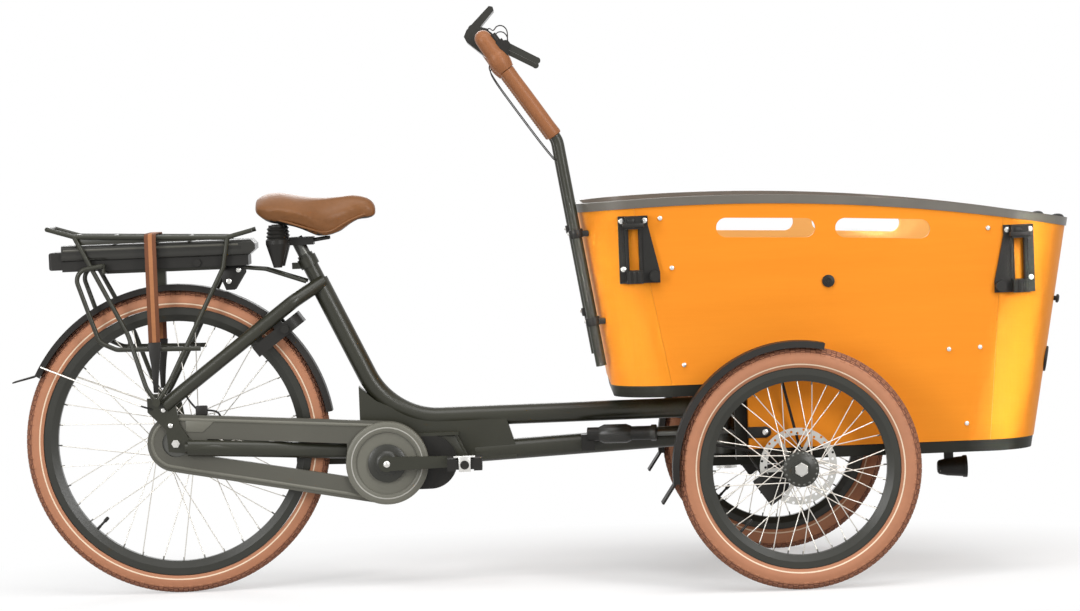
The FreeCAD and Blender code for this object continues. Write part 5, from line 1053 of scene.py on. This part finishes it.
def case_details():
    """A ridge round the chain case, a raised panel on it and the cable joint on top. The ridge and the
    panel are raised, and their lighter grey paint is a painted highlight on them.
    """
    span = Vector((CRANK.x - REAR_AXLE.x, CRANK.z - REAR_AXLE.z)) * 1000
    heading = atan2(span.y, span.x)
    tilt = acos((REAR_REACH - FRONT_REACH) / span.length)

    def rim_point(centre, reach, angle):
        place = centre + Vector((cos(angle), 0, sin(angle))) * reach / 1000
        return Vector((place.x, (CASE_FACE_Y + RIDGE_SINK) / 1000, place.z))

    line = [rim_point(CRANK, FRONT_REACH, heading + tilt)]
    for k in range(CASE_STEPS + 1):
        angle = heading + tilt + (2 * pi - 2 * tilt) * k / CASE_STEPS
        line.append(rim_point(REAR_AXLE, REAR_REACH, angle))
    line.append(rim_point(CRANK, FRONT_REACH, heading - tilt))
    ridge = wire("ridge", line, RIDGE_RADIUS, sides=8)
    panel = plate("panel", CASE_PANEL, CASE_FACE_Y - PANEL_RISE, 2.2)
    # The ridge and the panel take the lighter grey as a painted highlight on their crests.
    hand_over(joined("case_trim_painted_highlight", [ridge, panel]), BOSS_AND_HIGHLIGHT_PAINT, "rear_frame")
    parts = [bar("joint", JOINT_PLACE, JOINT_SIZE, 3)]
    parts += [wire("lead", [at(*place) for place in run], LEAD_RADIUS) for run in LEADS]
    moulded("cable_joint", parts, "rear_frame")


# Damper and lamps

DAMPER_FOOT, DAMPER_WAY = at(884, -44, 311), Vector((299, -42.4, 0))
DAMPER_SLEEVE = ((14.5, 26), (16, 26), (20.5, 36), (20.5, 84), (16, 95), (14.5, 95))
DAMPER_NUT = ((14.5, 138), (17, 138), (17.5, 140), (17.5, 148), (16, 150), (14.5, 150))
TAIL_LENS_SIZE, TAIL_LENS_IN = (4.5, 74, 24), 0.0022
LAMP_BACK = at(1640, 0, 206)
LAMP_SHELL = ((0, 0), (11, 0), (15, 3), (17, 12), (19, 20), (22, 54), (24, 56), (24, 63.5), (21, 63.5),
              (21, 58), (0, 58))
LAMP_GLASS = ((0, 58), (20.5, 58), (20.5, 60), (16, 61.5), (8, 62.6), (0, 63))
LAMP_BARS = ((1665, 238, (20, 10, 52)), (1640, 262, (80, 28, 4)))


def damper_sleeve():
    """The swollen middle of the damper's barrel and the nut at its open end."""
    outlines = (DAMPER_SLEEVE, DAMPER_NUT)
    parts = [lathe("sleeve", outline, DAMPER_FOOT, DAMPER_WAY, 40) for outline in outlines]
    hand_over(joined("damper_sleeve", parts), CASE_PLASTIC, "rear_frame")


def lamps():
    """The tail lamp's red lens, and the front lamp hung on its bracket under the tray."""
    low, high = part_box("tail_lamp")
    face = bar("tail_lens", (low.x + TAIL_LENS_IN, 0, (low.z + high.z) / 2), TAIL_LENS_SIZE, 2)
    hand_over(face, RED_LENS, "rear_frame")
    parts = [lathe("lamp", LAMP_SHELL, LAMP_BACK, AHEAD)]
    parts += [bar("hanger", at(x, 0, z), size) for x, z, size in LAMP_BARS]
    lamp = moulded("front_lamp", parts, "front_unit")
    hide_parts("front_fittings")
    glass = lathe("lamp_glass", LAMP_GLASS, LAMP_BACK, AHEAD)
    hand_over(glass, CLEAR_LENS, "front_unit")


# Small fittings on the box

STUD = ((0, -1), (5, -1), (5, 4), (9, 5), (9, 9), (6, 11), (0, 11.5))
REFLECTOR = ((0, -2), (26, -2), (27, -1), (27, 3), (25, 4.5), (0, 5))
BUTTON = ((0, -2), (14, -2), (14, 2), (11, 5.5), (6, 7.5), (0, 8))
STUD_Y, STUD_Z, REFLECTOR_Z = 205, 573, 446
BUTTON_Y, BUTTON_BACK = 150, 0.016
AHEAD_OF_BOX, ABOVE_BOX, RIM_SEARCH = 2400, 900, range(1980, 1780, -4)
STEP_TAB = ((1212, 311), (1252, 311), (1260, 315), (1262, 322), (1260, 330), (1252, 334), (1212, 334))
TAB_OUT, TAB_BOLT, TAB_BOLT_OUT = 2.6, (1249, 322.5), 5.1


def box_fittings():
    """Studs and reflectors on the front wall, buttons on the rim and bolted tabs at the step."""
    studs, domes = [], []
    for side in BOTH:
        for height, outline in ((STUD_Z, STUD), (REFLECTOR_Z, REFLECTOR)):
            spot, out = touch("box_front_panel", at(AHEAD_OF_BOX, side * STUD_Y, height), -AHEAD)
            studs.append(lathe("stud", outline, spot, out, 32))
        tries = (touch("box_rim", at(x, side * BUTTON_Y, ABOVE_BOX), -UP) for x in RIM_SEARCH)
        spot = next(filter(None, tries))[0]
        domes.append(lathe("dome", BUTTON, spot - AHEAD * BUTTON_BACK, UP, 32))
    moulded("front_studs", studs, "front_unit")
    moulded("rim_buttons", domes, "front_unit")
    moulded("step_tabs", twin_plates(STEP_TAB, BOX_HALF + TAB_OUT, 5), "front_unit")
    screws("tab_bolts", 6.0, 3.0, both_sides([TAB_BOLT], BOX_HALF + TAB_BOLT_OUT), "front_unit")


# Details of the frame, the carrier and the pedals

STAY_LINE = ((26, 79, 318.5), (84, 79, 316), (207, 58, 307), (330, 37, 298), (364, 35, 297))
STAY_RADIUS, STAY_RATIO, STAY_MIDDLE = 0.0115, 1.5, 306
MOTOR_MOUNT, MOUNT_WIDTH = ((548, 323), (600, 323), (627, 263), (598, 252), (575, 275)), 74
WELD_BEAD = ((0, 0), (3.4, 0), (2.8, 1.3), (0, 2.2))
WELD_FROM, WELD_TO, WELD_STEPS, WELD_Y = Vector((600, 322)), Vector((627, 263)), 20, 36.4
DROPOUT_BOLTS, DROPOUT_Y = ((-24, 402), (-10, 368)), 73.4
LEG_BOLT, LEG_BOLT_Y = (-36, 420), 91.0
RAIL, RAIL_Y = ((-196, 762), (60, 762), (60, 768), (-196, 779)), 56.5
BAND, BAND_Y = ((-226, 749), (150, 749), (150, 753), (-226, 753)), 55.1
HANGER = ((108, 706), (160, 706), (160, 688), (137, 652), (118, 652), (110, 672))
HANGER_BOLTS = ((124.5, 671), (146, 695))
HANGER_Y, HANGER_BOLT_Y = 18.8, 21.2
PEDALS = ((RIGHT, "right", 619), (LEFT, "left", 283))
PEDAL_CAGE = ((199.6, 271, (25, 2.6, 33)), (193, 286, (46, 14, 3.4)))
PEDAL_CAP = ((0, -1), (9.6, -1), (9.6, 0.8), (7.5, 1.8), (6.5, 0.8), (0, 0.8))
PEDAL_CAP_Y, PEDAL_CAP_Z = 200.9, 269


def frame_details():
    """Oval covers on the chain stays, the motor mount with its welds, and the dropouts' bolts."""
    covers = []
    for side in BOTH:
        squeezed = [at(x, side * y, STAY_MIDDLE + (z - STAY_MIDDLE) / STAY_RATIO)
                    for x, y, z in STAY_LINE]
        cover = wire("stay", squeezed, STAY_RADIUS, sides=12)
        pick(cover, "VERT")
        bpy.ops.transform.resize(value=(1, 1, STAY_RATIO), center_override=at(0, 0, STAY_MIDDLE))
        rest()
        covers.append(cover)
    hand_over(joined("chain_stay_covers", covers), FRAME_PAINT, "rear_frame")
    mount = plate("motor_mount", MOTOR_MOUNT, 0, MOUNT_WIDTH, 3)
    hand_over(mount, FRAME_PAINT, "rear_frame")
    bead = lathe("bead", WELD_BEAD, Vector(), UP, 10)
    seam = [WELD_FROM.lerp(WELD_TO, k / WELD_STEPS) for k in range(WELD_STEPS + 1)]
    welds = copies("motor_mount_welds", bead, both_sides(seam, WELD_Y))
    hand_over(welds, FRAME_PAINT, "rear_frame")
    places = both_sides(DROPOUT_BOLTS, DROPOUT_Y) + both_sides([LEG_BOLT], LEG_BOLT_Y)
    screws("dropout_bolts", 5.0, 3.2, places, "rear_frame")


def carrier_details():
    """Plates under the deck's rails, the battery's bands and the bolted plate at its front."""
    rails = joined("deck_rails", twin_plates(RAIL, RAIL_Y, 2.5))
    hand_over(rails, FRAME_PAINT, "rear_frame")
    bands = joined("battery_bands", twin_plates(BAND, BAND_Y, 1.2, 0.4))
    hand_over(bands, CASE_PAINT, "rear_frame")
    moulded("battery_hangers", twin_plates(HANGER, HANGER_Y, 5), "rear_frame")
    screws("hanger_bolts", 5.5, 3.0, both_sides(HANGER_BOLTS, HANGER_BOLT_Y), "rear_frame")


def pedal_plates():
    """A bright T-shaped cage end and a dark spindle cap on each pedal."""
    for side, word, x in PEDALS:
        body = "pedal_" + word
        cage = [bar("cage", at(x, side * y, z), size) for y, z, size in PEDAL_CAGE]
        hand_over(joined("pedal_cage_" + word, cage), BARE_STEEL, body)
        place = at(x, side * PEDAL_CAP_Y, PEDAL_CAP_Z)
        cap = lathe("pedal_cap_" + word, PEDAL_CAP, place, (0, side, 0), 24)
        hand_over(cap, BLACK_PLASTIC, body)


# Cables, the bar's clamps and the display

HOSE_RADIUS, WIRE_RADIUS, LINE_RADIUS = 0.0012, 0.0013, 0.0024
HOSE_RUN = ((722, 232, 1124), (702, 232, 1112), (708, 232, 1088), (765, 234, 1004), (822, 237, 922),
            (838, 239, 903))
WIRE_RUN = ((742, 238, 1142), (748, 234, 1172), (740, 228, 1190), (724, 214, 1192), (716, 190, 1180),
            (708, 130, 1190), (700, 80, 1186), (700, 58, 1176))
LINE_RUN = ((1186, 40, 320), (1196, 180, 312), (1206, 290, 288), (1222, 338, 262), (1236, 346, 238))
LEG_LEAN = 0.1525
LEG_SLOPE = Vector((-LEG_LEAN, 0, 1)).normalized()
LEG_FOOT_X, LEG_FOOT_Z, LEG_SETBACK, LEG_Y = 935, 427, 13.1, 240
CLAMP_LEVELS = (564, 749)
COLLAR = ((11.3, -9), (14.5, -9), (15.5, -7), (15.5, 7), (14.5, 9), (11.3, 9))
FOOT_START, FOOT_SINK, FOOT_WIDTH, FOOT_HEIGHT = 0.0125, 2, 17, 12
CLAMP_BACK, BEHIND_LEG = 0.0152, 0.03
DISPLAY_PLACE = BAR_TOP + Vector((-0.011, 0, 0.049))
GLASS_SIZE, GLASS_UP = (0.044, 0.092, 0.0016), 0.006
KEY, KEY_PLACES, KEYS_DOWN = ((0, 0), (5, 0), (5, 1.4), (3.5, 2.4), (0, 2.7)), (-0.022, 0, 0.022), 0.024


def twin_wires(run, radius):
    """The same cable on the right and on the left."""
    return [wire("run", [at(x, side * y, z) for x, y, z in run], radius) for side in BOTH]


def cables():
    """Hoses behind the bar's legs, loops at the display and lines to the front brakes."""
    hoses = moulded("lever_hoses", twin_wires(HOSE_RUN, HOSE_RADIUS), "handlebar")
    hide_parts("brake_hoses")
    moulded("display_wires", twin_wires(WIRE_RUN, WIRE_RADIUS), "handlebar")
    moulded("front_brake_lines", twin_wires(LINE_RUN, LINE_RADIUS), "front_unit")


def leg_clamps():
    """Collars round the bar's legs, each with a foot screwed to the box's rear panel."""
    parts, heads = [], []
    for side in BOTH:
        for z in CLAMP_LEVELS:
            leg = at(LEG_FOOT_X - LEG_LEAN * (z - LEG_FOOT_Z) - LEG_SETBACK, side * LEG_Y, z)
            parts.append(lathe("collar", COLLAR, leg, LEG_SLOPE, 32))
            wall = touch("box_rear_panel", leg - AHEAD * BEHIND_LEG, AHEAD)[0]
            start = leg.x + FOOT_START
            length = (wall.x - start) * 1000 + FOOT_SINK
            place = Vector((start + length / 2000, leg.y, z / 1000))
            parts.append(bar("foot", place, (length, FOOT_WIDTH, FOOT_HEIGHT), 2))
            heads.append(facing(leg - AHEAD * CLAMP_BACK, -AHEAD))
    clamps = moulded("leg_clamps", parts, "front_unit")
    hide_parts("bar_clamps")
    screws("clamp_screws", 3.5, 2.5, heads, "front_unit")


def display():
    """The glass and three buttons on the sloping face of the console."""
    out = Vector((-1, 0, 1)).normalized()
    along = Vector((1, 0, 1)).normalized()
    glass = begin("display_glass", "cube", size=1, scale=GLASS_SIZE)
    rounded(glass, 0.0006)
    pick(glass, "FACE", is_top)
    bpy.ops.mesh.inset(thickness=0.003, depth=-0.0004)
    rest()
    glass.data.transform(facing(DISPLAY_PLACE + along * GLASS_UP, out))
    hand_over(glass, SCREEN_GLASS, "handlebar")
    key = lathe("button", KEY, Vector(), UP, 20)
    row = [facing(DISPLAY_PLACE - along * KEYS_DOWN + OUT_LEFT * y, out) for y in KEY_PLACES]
    hand_over(copies("display_buttons", key, row), BLACK_PLASTIC, "handlebar")


# Stage

ROOM_LIGHT = 0.40
FADE_FLOOR, FADE_FROM, FADE_OVER, FADE_LENGTHWAYS = 0.58, 0.5, 1.6, 0.5


def light(name, place, target, size, power, spread=180, lean=0.0):
    """A soft box facing its target, or a gridded strip that leans forward at its top."""
    data = bpy.data.lights.new(name, "AREA")
    data.shape = "RECTANGLE"
    data.size, data.size_y = size
    data.energy = power
    data.spread = radians(spread)
    back = (Vector(place) - Vector(target)).normalized()
    across = Vector((lean, 0, 1)).cross(back).normalized()
    stand(name, data, place, Matrix((across, back.cross(across), back)).transposed().to_4x4())


def white_floor():
    """A grey cloth, seen as white and as pure white further out."""
    f = blank("white_floor")
    x, y = f.axes()[:2]
    far = FADE_FLOOR + ((x * x * FADE_LENGTHWAYS + y * y) - FADE_FROM) / FADE_OVER
    seen = f.in_view()
    cloth = f.mix(f.noise(0.8), (0.40, 0.40, 0.40), (0.44, 0.44, 0.44))
    tone = f.mix(seen, cloth, (0.98, 0.98, 0.98))
    lit = f.node("BsdfDiffuse", {"Color": tone})
    white = f.node("Emission", {"Color": (1, 1, 1, 1), "Strength": 1.0})
    share = f.node("Math", {0: far, 1: seen}, operation="MULTIPLY", use_clamp=True)
    return f.close(f.node("MixShader", {0: share, 1: lit, 2: white}))


def stage():
    floor = begin("floor", "plane", size=120)
    floor.data.materials.append(white_floor())
    room = Finish(bpy.data.worlds.new("white_room"))
    level = room.in_view() * (1 - ROOM_LIGHT) + ROOM_LIGHT
    back = room.node("Background", {"Color": (1, 1, 1, 1), "Strength": level})
    bpy.context.scene.world = room.close(back, "OutputWorld")
    light("key", (2.3, -3.7, 1.9), (0.5, -0.2, 0.5), (1.0, 2.2), power=78)
    light("fill", (-2.8, -3.1, 1.6), (-0.3, -0.2, 0.5), (1.0, 2.2), power=66)
    light("front_corner", (1.93, -2.26, 0.79), (1.017, -0.28, 0.61), (0.03, 0.74),
          power=0.23, spread=3.2, lean=0.20)
    light("rear_corner", (-0.78, -2.27, 0.77), (0.14, -0.28, 0.57), (0.07, 0.42),
          power=0.13, spread=6, lean=-0.2)
    light("top", (0.3, -1.8, 4.4), (0.2, 0, 0.3), (4.0, 2.5), power=105)
    light("back", (-0.5, 4.5, 2.6), (0, 0, 0.4), (2.5, 2.0), power=60)
    bpy.context.scene.view_settings.view_transform = "Standard"


place_camera()
finish_nodes()
wheels()
saddle()
grips()
strap()
box_hardware()
drive_fittings()
case_details()
damper_sleeve()
lamps()
box_fittings()
frame_details()
carrier_details()
pedal_plates()
cables()
leg_clamps()
display()
stage()
rest()
